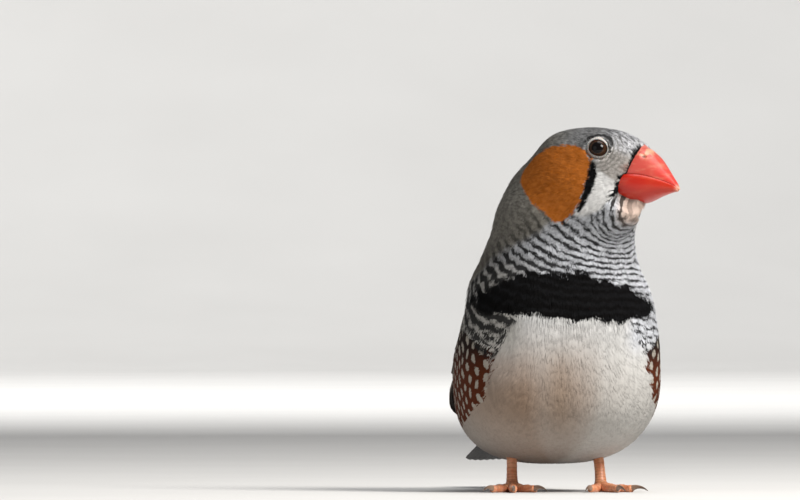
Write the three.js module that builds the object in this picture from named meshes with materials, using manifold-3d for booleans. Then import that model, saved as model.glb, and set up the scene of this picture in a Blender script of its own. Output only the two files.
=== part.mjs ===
// A male zebra finch, life size and still, standing low on both feet with its head turned to its left.
// Millimetres, +Z up, floor at z = 0. The body faces -Y, so its left side is +X.
// Every feathered form is cut from one smooth field, a blend of egg-shaped masses.
import * as THREE from "three";
import { mergeVertices } from "three/addons/utils/BufferGeometryUtils.js";
import Module from "manifold-3d";

const wasm = await Module();
wasm.setup();

// Driving dimensions
const GAP = 0.3; // air between two pieces that touch
const BLEND = 1.1; // how softly neighbouring masses run together

const EYE_LINE = new THREE.Vector3(8.19, -13.28, 56.3); // midpoint between the eyes
const HEAD_YAW = 43; // degrees that the head turns to the bird's left
const HEAD_PITCH = 15; // degrees that the bill points down
const HEAD_ROLL = -16; // degrees, so that the right eye looks up

const EYE_RADIUS = 1.9;
const EYE_BACK = -0.4; // eyeball centre behind the eye line
const EYE_SIDE = 5.4; // to the head's midline
const EYE_DROP = -0.2;
const EYE_TURN = 66; // degrees from straight ahead to where an eye looks
const EYE_LIFT = 5; // degrees up
const LID_OPENING = 1.45; // radius inside the bare ring
const LID_REACH = 2.15; // radius outside it
const LID_THICK = 0.42;

const BILL_ROOT = 4.2; // how far ahead of the eye line the hidden root of the bill starts
const BILL_TIP = 14.35;
const MOUTH_GAP = 0.3;
const JAW_WIDTH = 1.1; // lower half of the bill over the upper half
const JAW_SHORTER = 0.3; // lower half's tip behind the upper half's
const RIDGE_ROUND = 0.8; // how full the bill's section is above, where 1 is an ellipse
const JAW_ROUND = 0.55; // and below
const BILL_STEPS = 9;
const BILL_SIDES = 12;
const NOSTRIL_RADIUS = 0.42;
const NOSTRIL_LENGTH = 1.25; // over its width
const NOSTRIL = { x: 7.2, y: 2.85, z: 0.9 };

const WING_SINK = 2.1; // how deep the wing beds into the flank
const WING_LIFT = 0.4; // how far its hind end stands off the rump
const CORE_THICK = 0.5; // the wing under its feathers
const SHOULDER_THICK = 1.9; // the same at its front end
const CORE_INSET = 0.3;
const CORE_LENGTH = 0.6; // share of the wing's length
const SEAT_MARGIN = 0.9; // the hollow in the flank is this much wider than the wing
const SEAT_HEIGHT = 5;
const VANE_THICK = 0.5;
const VANE_TILT = 0.85; // rise of a wing feather's lower edge over its neighbour
const VANE_OVERLAP = 1.35; // width of a feather over the strip of it that shows
const STRIP_FADE = 0.07; // share of the wing's length in which a strip narrows to its tip
const ROOT_WIDTH = 0.6; // width of a wing feather's hidden root over its strip
const TAIL_HALF_WIDTH = [3.6, 6.7]; // at the root and at the tip
const MIDDLE_OVERLAP = 1.15; // width of the middle tail feather over its strip
const OUTER_OVERLAP = 1.42;
const TAIL_STEP = 0.42; // each tail feather lies this far below the one inside it
const TAIL_GAP = GAP + 0.05; // between the middle feather and the next ones
const TAIL_TILT = 0.45; // rise from a tail feather's inner edge to its outer edge
const TAIL_START = new THREE.Vector3(0, 27.3, 14.6);
const TAIL_END = new THREE.Vector3(0, 58, 5);

const FOOT_SIDE = 7.6; // each foot to the midline
const FOOT_Y = 0.2;
const HUB_HEIGHT = 1.3;
const HUB_RADIUS = 1.15;
const LEG_CUT = 3.4; // height of the joint between foot and leg
const TOE_RADIUS = 0.78;
const TOE_HEIGHT = 0.6; // toe centreline over the floor
const TOE_ARCH = 0.06; // how far a toe lifts near the foot's middle
const LEG_RADIUS = 0.95;
const LEG_SIDES = 10;
const TOE_STEPS = 7;
const TOE_SIDES = 8;
const CLAW_RADIUS = 0.5;
const CLAW_POINT = 0.1; // radius at the tip
const TOES = [
  // name, degrees outward from straight ahead, length, claw length
  ["middle", 8, 9.6, 4],
  ["inner", -24, 7.2, 3.5],
  ["outer", 36, 7.6, 3.5],
  ["hind", 172, 6.6, 4.8],
];

const { lerp, clamp, smoothstep, degToRad: rad } = THREE.MathUtils;
const vec = (x, y, z) => new THREE.Vector3(x, y, z);
const UP = vec(0, 0, 1);
const curve = (points) => new THREE.CatmullRomCurve3(points.map((p) => vec(...p)));

// Head frame: x towards the bill, y to the bird's left, z up.
const headTurn = new THREE.Quaternion()
  .setFromAxisAngle(UP, rad(HEAD_YAW - 90))
  .multiply(new THREE.Quaternion().setFromAxisAngle(vec(0, 1, 0), rad(HEAD_PITCH)))
  .multiply(new THREE.Quaternion().setFromAxisAngle(vec(1, 0, 0), rad(HEAD_ROLL)));
const headPoint = (x, y, z) => vec(x, y, z).applyQuaternion(headTurn).add(EYE_LINE);

// A mass of the field: centre, half sizes, turn, and how square its section is (2 is an ellipsoid).
function mass(centre, size, turn = new THREE.Quaternion(), square = 2) {
  return { centre, size, back: turn.clone().invert(), square };
}
const tilt = (degrees) => new THREE.Quaternion().setFromAxisAngle(vec(1, 0, 0), rad(degrees));

const masses = [
  mass(vec(0, 0.3, 19.6), vec(17.1, 17.6, 14), tilt(-14), 2.7), // belly
  mass(vec(0, -3.4, 29.5), vec(15.6, 15, 12), tilt(0), 2.3), // breast
  mass(vec(0, 5, 29), vec(14.6, 19.5, 11), tilt(-50), 2.2), // back
  mass(vec(0, 14.5, 18), vec(11.5, 16, 8.4), tilt(-24)), // rump
  mass(vec(0, 27.5, 14.2), vec(4.4, 8.5, 3.2), tilt(-17)), // root of the tail
  mass(vec(0, -3.8, 39.5), vec(12.3, 12, 8.5)), // base of the neck
  mass(vec(0.5, -5.6, 45.6), vec(11.7, 11, 7.6), tilt(-8)), // neck
  mass(vec(-0.4, -4.8, 49), vec(8.7, 8.8, 8)), // nape
  mass(headPoint(-4.9, 0, -4), vec(9, 7.2, 6.5), headTurn, 2.3), // cranium
  mass(headPoint(0.4, 0, -1.9), vec(5.5, 6, 5.2), headTurn), // face
  mass(headPoint(2.5, 0, -0.7), vec(3.5, 4.5, 3.7), headTurn, 3), // feathers round the bill
  mass(headPoint(-1.9, 0, -1.1), vec(6.2, 5.9, 4.5), headTurn, 2.3), // forehead
  mass(headPoint(-2.4, 0, -8.2), vec(8.6, 7.4, 5.6), headTurn), // throat
  mass(headPoint(3.8, 0, -7.2), vec(4.4, 3.8, 2.9), headTurn), // chin
  mass(headPoint(-4.8, 4.0, -7), vec(6.2, 4, 6), headTurn), // left cheek
  mass(headPoint(-4.8, -4.0, -7), vec(6.2, 4, 6), headTurn), // right cheek
];

// Distance from a mass's surface to p, nearly, and below 0 inside.
function depthIn(m, p) {
  const q = p.clone().sub(m.centre).applyQuaternion(m.back);
  const terms = [q.x / m.size.x, q.y / m.size.y, q.z / m.size.z].map(Math.abs);
  const level = Math.pow(
    terms.reduce((sum, t) => sum + Math.pow(t, m.square), 0),
    1 / m.square,
  );
  if (level < 1e-3) return -Math.min(m.size.x, m.size.y, m.size.z);
  const slopes = [m.size.x, m.size.y, m.size.z].map(
    (s, i) => Math.pow(terms[i] / level, m.square - 1) / s,
  );
  return (level - 1) / Math.hypot(...slopes);
}

// Distance from the bird's smooth surface to p, nearly, and below 0 inside.
function field(p) {
  let sum = 0;
  for (const m of masses) sum += Math.exp(-depthIn(m, p) / BLEND);
  return -BLEND * Math.log(sum);
}

function outward(p) {
  const step = 0.05;
  const at = (x, y, z) => field(vec(p.x + x, p.y + y, p.z + z));
  const n = vec(
    at(step, 0, 0) - at(-step, 0, 0),
    at(0, step, 0) - at(0, -step, 0),
    at(0, 0, step) - at(0, 0, -step),
  );
  return n.normalize();
}

// Moves a point out until it clears the bird's surface.
function pushedOut(p, clearance) {
  const rounds = 12;
  const nearly = 0.01;
  const q = p.clone();
  for (let i = 0; i < rounds; i++) {
    const short = clearance - field(q);
    if (short <= nearly) break;
    q.addScaledVector(outward(q), short);
  }
  return q;
}

// Solids

function solidOf(geometry) {
  const bare = new THREE.BufferGeometry();
  bare.setAttribute("position", geometry.getAttribute("position"));
  if (geometry.index) bare.setIndex(geometry.index);
  const merged = mergeVertices(bare, 1e-4);
  return new wasm.Manifold(
    new wasm.Mesh({
      numProp: 3,
      vertProperties: new Float32Array(merged.attributes.position.array),
      triVerts: new Uint32Array(merged.index.array),
    }),
  );
}

function geometryOf(solid) {
  const mesh = solid.getMesh();
  const geometry = new THREE.BufferGeometry();
  geometry.setAttribute("position", new THREE.BufferAttribute(mesh.vertProperties, 3));
  geometry.setIndex(new THREE.BufferAttribute(mesh.triVerts, 1));
  geometry.computeVertexNormals();
  return geometry;
}

// The largest closed body of a solid.
function largest(solid) {
  const parts = solid.decompose();
  return parts.reduce((best, part) => (part.volume() > best.volume() ? part : best));
}

// Joins rings of points, each with the same count, into a closed body with fan caps.
// A thin sheet is split alike on both faces, which are the two halves of each ring.
function loft(rings, thin = false) {
  const count = rings[0].length;
  const middle = (ring) => ring.reduce((sum, p) => sum.add(p), vec(0, 0, 0)).divideScalar(count);
  const points = [middle(rings[0]), ...rings.flat(), middle(rings.at(-1))];
  const last = points.length - 1;
  const faces = [];
  for (let i = 0; i < count; i++) {
    const j = (i + 1) % count;
    faces.push(0, 1 + j, 1 + i);
    for (let r = 0; r + 1 < rings.length; r++) {
      const a = 1 + r * count;
      const b = a + count;
      if (thin && i >= count / 2) faces.push(a + i, a + j, b + i, a + j, b + j, b + i);
      else faces.push(a + i, a + j, b + j, a + i, b + j, b + i);
    }
    const end = 1 + (rings.length - 1) * count;
    faces.push(last, end + i, end + j);
  }
  const geometry = new THREE.BufferGeometry().setFromPoints(points).setIndex(faces);
  const solid = solidOf(geometry);
  return solid.volume() > 0 ? solid : solidOf(geometry.setIndex(faces.reverse()));
}

// A round rod along a curve, with a radius for each fraction of its length.
function rod(path, radiusAt, steps, sides) {
  const rings = [];
  for (let i = 0; i <= steps; i++) {
    const t = i / steps;
    const along = path.getTangent(t);
    const side = new THREE.Vector3().crossVectors(along, UP);
    if (side.length() < 1e-3) side.set(1, 0, 0);
    side.normalize();
    const lift = new THREE.Vector3().crossVectors(side, along).normalize();
    const ring = [];
    for (let j = 0; j < sides; j++) {
      const a = (2 * Math.PI * (j + 0.5)) / sides;
      ring.push(
        path
          .getPoint(t)
          .addScaledVector(side, radiusAt(t) * Math.cos(a))
          .addScaledVector(lift, radiusAt(t) * Math.sin(a)),
      );
    }
    rings.push(ring);
  }
  return loft(rings);
}

// The surface that rays from a centre meet last, cut off by planes and grown by some distance.
function castBody(centre, axis, rows, columns, planes, grown = 0) {
  const turn = new THREE.Quaternion().setFromUnitVectors(UP, axis.clone().normalize());
  const reach = 60;
  const mostSteps = 400;
  const stride = 0.7; // share of the distance to go, because the field is only nearly a distance
  const nearly = 1e-3;
  const solidAt = (p) =>
    Math.max(field(p) - grown, ...planes.map((plane) => plane.distanceToPoint(p)));
  const hit = (direction) => {
    let r = reach;
    for (let i = 0; i < mostSteps; i++) {
      const d = solidAt(centre.clone().addScaledVector(direction, r));
      if (d < nearly) break;
      r -= Math.max(stride * d, nearly);
    }
    return centre.clone().addScaledVector(direction, r);
  };
  const rings = [];
  for (let i = 0; i < rows; i++) {
    const polar = (Math.PI * (i + 0.5)) / rows;
    const ring = [];
    for (let j = 0; j < columns; j++) {
      const around = (2 * Math.PI * j) / columns;
      const direction = vec(
        Math.sin(polar) * Math.cos(around),
        Math.sin(polar) * Math.sin(around),
        -Math.cos(polar),
      ).applyQuaternion(turn);
      ring.push(hit(direction));
    }
    rings.push(ring);
  }
  return loft(rings);
}

// A plane keeps what lies behind its normal.
const cutPlane = (normal, point) =>
  new THREE.Plane().setFromNormalAndCoplanarPoint(normal.clone().normalize(), point);
const pastPlane = (plane, distance) => new THREE.Plane(plane.normal, plane.constant - distance);

function keepBehind(solid, plane, gap) {
  const n = plane.normal.clone().negate();
  return solid.trimByPlane([n.x, n.y, n.z], plane.constant + gap);
}

// Torso, neck and head

const NECK_BASE = cutPlane(vec(0, 0.16, 1), vec(0, -4, 40));
const HEAD_BASE = cutPlane(vec(0, -0.2, 1), vec(6, -17, 46));
const TAIL_BASE = cutPlane(vec(0, 1, -0.35), vec(0, 27, 14.6));
const CUT_MARGIN = 1.5;

function torsoBody(grown = 0) {
  const ends = [pastPlane(NECK_BASE, CUT_MARGIN), pastPlane(TAIL_BASE, CUT_MARGIN)];
  return castBody(vec(0, 4, 22), vec(0, 0.75, -0.66), 24, 32, ends, grown);
}

function torso() {
  const body = keepBehind(keepBehind(torsoBody(), NECK_BASE, GAP / 2), TAIL_BASE, GAP / 2);
  return body.subtract(wingSeat(1)).subtract(wingSeat(-1));
}

function neck() {
  const lower = NECK_BASE.clone().negate();
  const ends = [pastPlane(lower, CUT_MARGIN), pastPlane(HEAD_BASE, CUT_MARGIN)];
  const body = castBody(vec(0.8, -5, 43.6), UP, 18, 34, ends);
  return keepBehind(keepBehind(body, lower, GAP / 2), HEAD_BASE, GAP / 2);
}

// Bill, in the head frame: how high the ridge, the mouth and the chin edge lie, and how wide it is
const RIDGE = curve([
  [4.2, 0, 3.6], [5.2, 0, 3.27], [6.3, 0, 3.07], [8.2, 0, 2.34], [9.94, 0, 1.3],
  [11.72, 0, 0.15], [13.22, 0, -0.8], [14.35, 0, -1.75],
]);
const MOUTH = curve([
  [4.2, 0, -3.0], [5.4, 0, -2.75], [6.6, 0, -2.3], [8.4, 0, -1.75], [10.3, 0, -1.5],
  [12, 0, -1.42], [13.35, 0, -1.5], [14.35, 0, -1.8],
]);
const CHIN = curve([
  [4.2, 0, -6.5], [5.3, 0, -6.4], [7.5, 0, -5.9], [8.7, 0, -5.3], [10.5, 0, -4.05],
  [12, 0, -3.15], [13.2, 0, -2.5], [14.05, 0, -2.2],
]);
const HALF_WIDTH = curve([
  [4.2, 0, 4.1], [5.3, 0, 4.05], [6.5, 0, 3.85], [8.2, 0, 3.15], [10, 0, 2.3],
  [11.8, 0, 1.45], [13.3, 0, 0.75], [14.35, 0, 0.2],
]);

// Height of a profile curve at a distance ahead of the eye line.
function heightAt(profile, x) {
  let low = 0;
  let high = 1;
  for (let i = 0; i < 30; i++) {
    const middle = (low + high) / 2;
    if (profile.getPoint(middle).x < x) low = middle;
    else high = middle;
  }
  return profile.getPoint(low).z;
}

// One half of the bill, from its edge in the mouth to its ridge or its chin, grown all round.
function billHalf(profile, sign, tip, grown = 0) {
  const rings = [];
  for (let i = 0; i <= BILL_STEPS; i++) {
    const x = lerp(BILL_ROOT, tip, i / BILL_STEPS);
    const edge = heightAt(MOUTH, x) + (sign * MOUTH_GAP) / 2 - sign * grown;
    const crest = heightAt(profile, x) + sign * grown;
    const halfWidth = heightAt(HALF_WIDTH, x) * (sign > 0 ? 1 : JAW_WIDTH) + grown;
    const ring = [];
    for (let j = 0; j <= BILL_SIDES; j++) {
      const a = (Math.PI * j) / BILL_SIDES;
      const across = Math.cos(a);
      const rise = Math.pow(Math.sin(a), sign > 0 ? RIDGE_ROUND : JAW_ROUND);
      ring.push([halfWidth * across, lerp(edge, crest, rise)]);
    }
    const end = i === 0 ? x - grown : i === BILL_STEPS ? x + grown : x;
    rings.push(ring.map(([y, z]) => headPoint(end, y, z)));
  }
  return loft(rings);
}

const upperBill = (grown) => billHalf(RIDGE, 1, BILL_TIP, grown);
const lowerBill = (grown) => billHalf(CHIN, -1, BILL_TIP - JAW_SHORTER, grown);

function nostril(side) {
  const ball = new THREE.SphereGeometry(NOSTRIL_RADIUS, 12, 8);
  ball.scale(NOSTRIL_LENGTH, 1, 1).applyQuaternion(headTurn);
  const p = headPoint(NOSTRIL.x, side * NOSTRIL.y, NOSTRIL.z);
  return solidOf(ball.translate(p.x, p.y, p.z));
}

// Eyes

const eyeAxis = (side) =>
  vec(
    Math.cos(rad(EYE_TURN)) * Math.cos(rad(EYE_LIFT)),
    side * Math.sin(rad(EYE_TURN)) * Math.cos(rad(EYE_LIFT)),
    Math.sin(rad(EYE_LIFT)),
  ).applyQuaternion(headTurn);
const eyeCentre = (side) => headPoint(EYE_BACK, side * EYE_SIDE, EYE_DROP);

function eyeball(side, radius) {
  const ball = new THREE.SphereGeometry(radius, 18, 12);
  const turn = new THREE.Quaternion().setFromUnitVectors(vec(0, 1, 0), eyeAxis(side));
  const c = eyeCentre(side);
  return solidOf(ball.applyQuaternion(turn).translate(c.x, c.y, c.z));
}

// A ring turned about the eye's axis, from points given as radius and height over the eye's centre.
function eyeRing(side, profile) {
  const points = profile.map(([r, h]) => new THREE.Vector2(r, h));
  const ring = new THREE.LatheGeometry([...points, points[0]], 22);
  const turn = new THREE.Quaternion().setFromUnitVectors(vec(0, 1, 0), eyeAxis(side));
  const c = eyeCentre(side);
  return solidOf(ring.applyQuaternion(turn).translate(c.x, c.y, c.z));
}

// Points of the bare ring's section keep this far from the eye's centre.
const onShell = (r, shell) => [r, Math.sqrt(shell * shell - r * r)];
const LID_INSIDE = EYE_RADIUS + GAP + 0.04;
const LID_OUTSIDE = LID_INSIDE + LID_THICK;
const LID_FOOT = 0.9; // lowest height of the ring over the eye's centre
const eyelid = (side) =>
  eyeRing(side, [
    onShell(LID_OPENING, LID_INSIDE),
    onShell(1.78, LID_INSIDE),
    onShell(2.03, LID_INSIDE),
    [LID_REACH, LID_FOOT],
    onShell(LID_REACH, LID_OUTSIDE - 0.05),
    onShell(1.88, LID_OUTSIDE),
    onShell(1.6, LID_OUTSIDE - 0.04),
    onShell(LID_OPENING, LID_OUTSIDE - 0.2),
  ]);

// A straight-walled seat that leaves air round the bare ring.
function eyeSeat(side) {
  const wall = LID_REACH + GAP;
  const depth = LID_FOOT - GAP;
  return eyeRing(side, [[0, depth], [wall, depth], [wall + 0.4, 6], [0, 6]]);
}

function head() {
  const lower = HEAD_BASE.clone().negate();
  const body = castBody(headPoint(-4.5, 0, -5), UP, 24, 32, [pastPlane(lower, CUT_MARGIN)]);
  const cuts = [upperBill(GAP), lowerBill(GAP)];
  for (const side of [1, -1]) {
    cuts.push(eyeSeat(side), eyeball(side, EYE_RADIUS + GAP));
  }
  return keepBehind(body, lower, GAP / 2).subtract(wasm.Manifold.union(cuts));
}

// Wings: a sheet laid into the flank between guide lines, on the bird's left

const WING_LOWER = curve([
  [13, -3, 33.5], [14.8, -1.5, 27], [16.2, 4.5, 19.5], [15.6, 12, 14.4], [11.4, 20.5, 12.4],
  [7.2, 28, 12.6], [3.8, 38.5, 13.6],
]);
const WING_MIDDLE = curve([
  [12.4, -2, 36], [13.6, 2, 31], [13.4, 9, 25], [11.8, 17, 19.2], [9.2, 24, 16.4],
  [6.4, 31, 15.2], [3.6, 38.5, 14],
]);
const WING_UPPER = curve([
  [10.8, -0.5, 38], [9.8, 4, 36.4], [8.2, 11, 31.4], [6.4, 18, 25], [5, 24.5, 20.8],
  [4.2, 31, 17], [3.3, 38.5, 14.4],
]);
const SHEET_ROWS = 44;
const SHEET_COLUMNS = 12;

function sheetGuess(along, across) {
  return vec(0, 0, 0)
    .addScaledVector(WING_LOWER.getPoint(along), (1 - across) * (1 - 2 * across))
    .addScaledVector(WING_MIDDLE.getPoint(along), 4 * across * (1 - across))
    .addScaledVector(WING_UPPER.getPoint(along), across * (2 * across - 1));
}

const wingClearance = (along) => lerp(-WING_SINK, WING_LIFT, smoothstep(along, 0.45, 0.8));
const sheet = Array.from({ length: SHEET_ROWS + 1 }, (_, i) =>
  Array.from({ length: SHEET_COLUMNS + 1 }, (_, j) => {
    const along = i / SHEET_ROWS;
    return pushedOut(sheetGuess(along, j / SHEET_COLUMNS), wingClearance(along));
  }),
);

// A point of the sheet, carried on straight past its edges.
function sheetPoint(along, across) {
  const u = along * SHEET_ROWS;
  const v = across * SHEET_COLUMNS;
  const i = clamp(Math.floor(u), 0, SHEET_ROWS - 1);
  const j = clamp(Math.floor(v), 0, SHEET_COLUMNS - 1);
  const low = sheet[i][j].clone().lerp(sheet[i][j + 1], v - j);
  const high = sheet[i + 1][j].clone().lerp(sheet[i + 1][j + 1], v - j);
  return low.lerp(high, u - i);
}

function sheetNormal(along, across) {
  const step = 0.06;
  const a = clamp(along, step, 1 - step);
  const b = clamp(across, step, 1 - step);
  const ahead = sheetPoint(a + step, b).sub(sheetPoint(a - step, b));
  const rise = sheetPoint(a, b + step).sub(sheetPoint(a, b - step));
  return ahead.cross(rise).normalize();
}

const sheetWidth = (along) => sheetPoint(along, 0).distanceTo(sheetPoint(along, 1));

// A point of the wing: along from wrist to tip, across from lower to upper edge, height above it.
function wingPoint(side, along, across, height) {
  const p = sheetPoint(along, across).addScaledVector(sheetNormal(along, across), height);
  p.x *= side;
  return p;
}

// A closed slab over part of the sheet; top gives its height from along and across.
function wingSlab(side, bottom, top, margin, last = 1, steps = 12, sides = 5) {
  const rings = [];
  for (let i = 0; i <= steps; i++) {
    const along = (last * i) / steps;
    const ahead = i === 0 ? -margin / 50 : 0;
    const point = (j, height) => {
      const across = j / sides + ((2 * j) / sides - 1) * (margin / sheetWidth(along));
      return wingPoint(side, along + ahead, across, height);
    };
    const ring = [];
    for (let j = 0; j <= sides; j++) ring.push(point(j, bottom));
    for (let j = sides; j >= 0; j--) ring.push(point(j, top(along, j / sides)));
    rings.push(ring);
  }
  return loft(rings);
}

// One feather: a thin closed sheet through stations of height, half width and tilt.
function vane(pointAt, stations) {
  const rings = stations.map(({ t, centre, half, height, tilt: rise }) => [
    pointAt(t, centre - half, height + rise),
    pointAt(t, centre + half, height),
    pointAt(t, centre + half, height + VANE_THICK),
    pointAt(t, centre - half, height + rise + VANE_THICK),
  ]);
  return loft(rings, true);
}

// A row of wing feathers shares the wing's width in strips, the first one along the upper edge.
// Each strip narrows to nothing at its feather's tip, so the others spread out after it.
function wingRow(side, { root, rise, fractions, feathers }) {
  const share = (f, along) =>
    f.weight * (1 - 0.93 * smoothstep(along, f.tip - STRIP_FADE, f.tip + 0.01));
  return feathers.map((feather, k) => {
    const lowest = k === feathers.length - 1;
    const stations = fractions.map((fraction) => {
      const along = lerp(root, feather.tip, fraction);
      const shares = feathers.map((f) => share(f, along));
      const total = shares.reduce((sum, value) => sum + value, 0);
      const before = shares.slice(0, k).reduce((sum, value) => sum + value, 0);
      const strip = shares[k] / total;
      const up = smoothstep(along, rise[0], rise[1]);
      return {
        t: along,
        centre: 1 - (before + shares[k] / 2) / total,
        half: (strip / 2) * lerp(ROOT_WIDTH, VANE_OVERLAP, up),
        height: lerp(0.05, CORE_THICK + GAP, up),
        tilt: (lowest ? VANE_TILT / 3 : VANE_TILT) * up,
      };
    });
    return vane((t, centre, height) => wingPoint(side, t, centre, height), stations);
  });
}

const spread = (count, at) => Array.from({ length: count }, (_, k) => at(k / (count - 1)));
const FLIGHT = {
  root: 0.26,
  rise: [0.31, 0.45],
  fractions: [0, 0.22, 0.48, 0.72, 0.9, 1],
  feathers: [
    ...spread(3, (f) => ({ weight: lerp(1.7, 1.3, f), tip: lerp(0.6, 0.7, f) })),
    ...spread(3, (f) => ({ weight: 1.2, tip: lerp(0.745, 0.82, f) })),
    ...spread(4, (f) => ({ weight: 0.9, tip: lerp(0.87, 1, f) })),
  ],
};
const GREATER_COVERTS = {
  root: 0.1,
  rise: [0.15, 0.25],
  fractions: [0, 0.35, 0.65, 0.9, 1],
  feathers: spread(8, (f) => ({ weight: 1, tip: lerp(0.34, 0.31, f) })),
};
const MEDIAN_COVERTS = {
  root: 0.01,
  rise: [0.03, 0.11],
  fractions: [0, 0.35, 0.65, 0.9, 1],
  feathers: spread(7, (f) => ({ weight: 1, tip: lerp(0.17, 0.19, f) })),
};

function wing(side) {
  const shoulder = (along) => lerp(SHOULDER_THICK, CORE_THICK, smoothstep(along, 0.03, 0.13));
  const rounded = (across) => Math.sqrt(Math.sin(Math.PI * lerp(0.08, 0.92, across)));
  const coreTop = (along, across) => shoulder(along) * rounded(across);
  const core = wingSlab(side, 0, coreTop, -CORE_INSET, CORE_LENGTH, 8, 4);
  const rows = [FLIGHT, GREATER_COVERTS, MEDIAN_COVERTS].flatMap((row) => wingRow(side, row));
  return wasm.Manifold.union([core, ...rows]);
}

const wingSeat = (side) => wingSlab(side, -GAP, () => SEAT_HEIGHT, SEAT_MARGIN);

// Tail

const TAIL_PATH = curve([TAIL_START.toArray(), [0, 42.5, 9.5], TAIL_END.toArray()]);

// A point of the tail: along its path, sideways from the midline, height above it.
function tailPoint(along, sideways, height) {
  const inside = clamp(along, 0, 1);
  const ahead = TAIL_PATH.getTangent(inside);
  const lift = new THREE.Vector3().crossVectors(vec(1, 0, 0), ahead).normalize();
  return TAIL_PATH.getPoint(inside)
    .addScaledVector(ahead, (along - inside) * TAIL_PATH.getLength())
    .add(vec(sideways, 0, 0))
    .addScaledVector(lift, height);
}

const TAIL_TIPS = [1, 0.995, 0.985, 0.965, 0.94]; // from the middle feather outwards
const MIDDLE_SHARE = 1.7; // half the middle feather's strip
const OUTER_SHARE = 1.25;
// Each feather's stations, as shares of its length and of its full width
const TAIL_STATIONS = [[0.02, 1], [0.26, 1], [0.5, 1], [0.75, 1], [0.95, 0.86], [1, 0.5]];

function tailFeather(k, side) {
  const stations = TAIL_STATIONS.map(([fraction, round]) => {
    const t = fraction * TAIL_TIPS[k];
    const whole = MIDDLE_SHARE + OUTER_SHARE * (TAIL_TIPS.length - 1);
    const scale = lerp(...TAIL_HALF_WIDTH, t) / whole;
    if (k === 0) {
      const half = MIDDLE_SHARE * scale * MIDDLE_OVERLAP * round;
      return { t, centre: 0, half, height: -VANE_THICK / 2, tilt: 0 };
    }
    const centre = (MIDDLE_SHARE + OUTER_SHARE * (k - 0.5)) * scale;
    const drop = TAIL_STEP * (k - 1) + 1.5 * VANE_THICK + TAIL_GAP;
    const half = (OUTER_SHARE / 2) * scale * OUTER_OVERLAP * round;
    return { t, centre: -centre, half, height: -drop, tilt: TAIL_TILT };
  });
  return vane((t, centre, height) => tailPoint(t, -side * centre, height), stations);
}

// Coverts lie over and under the tail's root; each tapers to a blunt tip.
const COVERT_STATIONS = [[-0.06, 0.6], [0.35, 1], [0.75, 0.9], [1, 0.3]];
const TAIL_COVERTS = [
  // sideways place, length as a share of the tail, half width, heights at root and tip
  [3.4, 0.42, 1.1, [1.2, 0.6]],
  [1.9, 0.34, 1, [2.2, 1.4]],
  [1.3, 0.4, 1.15, [-3, -3.1]],
  [3.9, 0.34, 1.1, [-2.4, -3.1]],
];
const TOP_COVERT = [0, 0.28, 1.2, [2.6, 2.2]];

function tailCovert(sideways, tip, half, heights) {
  const stations = COVERT_STATIONS.map(([fraction, width]) => ({
    t: fraction * tip,
    centre: sideways * lerp(0.85, 1.1, fraction),
    half: half * width,
    height: lerp(...heights, smoothstep(fraction, 0, 0.8)),
    tilt: 0,
  }));
  return vane((t, centre, height) => tailPoint(t, centre, height), stations);
}

function tail() {
  const ahead = TAIL_BASE.clone().negate();
  const root = castBody(vec(0, 29.5, 13.8), vec(0, 1, -0.3), 10, 18, [
    pastPlane(ahead, CUT_MARGIN),
  ]);
  const parts = [root, tailFeather(0, 1)];
  for (const side of [1, -1]) {
    for (let k = 1; k < TAIL_TIPS.length; k++) parts.push(tailFeather(k, side));
    for (const [sideways, ...rest] of TAIL_COVERTS) {
      parts.push(tailCovert(side * sideways, ...rest));
    }
  }
  parts.push(tailCovert(...TOP_COVERT));
  const whole = keepBehind(wasm.Manifold.union(parts), ahead, GAP / 2);
  return whole.subtract(wingSeat(1)).subtract(wingSeat(-1));
}

// Legs and feet

const footPoint = (side, x, y, z) => vec(side * (FOOT_SIDE + x), FOOT_Y + y, z);

function toeDirection(side, degrees) {
  return vec(side * Math.sin(rad(degrees)), -Math.cos(rad(degrees)), 0);
}

function toePath(side, degrees, length) {
  const d = toeDirection(side, degrees);
  const at = (distance, height) => footPoint(side, 0, 0, height).addScaledVector(d, distance);
  return new THREE.CatmullRomCurve3([
    at(0, HUB_HEIGHT),
    at(0.3 * length, TOE_HEIGHT + TOE_ARCH),
    at(0.65 * length, TOE_HEIGHT),
    at(length, TOE_HEIGHT),
  ]);
}

// Toe pads swell three times along a toe.
const toeRadius = (t) => TOE_RADIUS * (1 - 0.22 * t + 0.07 * Math.cos(6 * Math.PI * t));

// The bare part of the leg runs up from the toes into the belly, and is parted above the foot.
function shank(side) {
  const path = new THREE.CatmullRomCurve3([
    footPoint(side, 0, 0, HUB_HEIGHT),
    footPoint(side, -0.1, 0.9, 4.2),
    footPoint(side, -0.5, 3, 10),
  ]);
  return rod(path, (t) => LEG_RADIUS * (1.1 - 0.2 * Math.sin(Math.PI * t)), 5, LEG_SIDES);
}

function foot(side) {
  const hub = new THREE.SphereGeometry(HUB_RADIUS, 10, 7);
  const c = footPoint(side, 0, 0, HUB_HEIGHT);
  const ankle = shank(side).trimByPlane([0, 0, -1], -LEG_CUT + GAP / 2);
  const parts = [solidOf(hub.translate(c.x, c.y, c.z)), ankle];
  for (const [, degrees, length] of TOES) {
    parts.push(rod(toePath(side, degrees, length), toeRadius, TOE_STEPS, TOE_SIDES));
  }
  return wasm.Manifold.union(parts).trimByPlane([0, 0, 1], 0);
}

function leg(side) {
  return shank(side).trimByPlane([0, 0, 1], LEG_CUT + GAP / 2).subtract(torsoBody(GAP));
}

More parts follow.
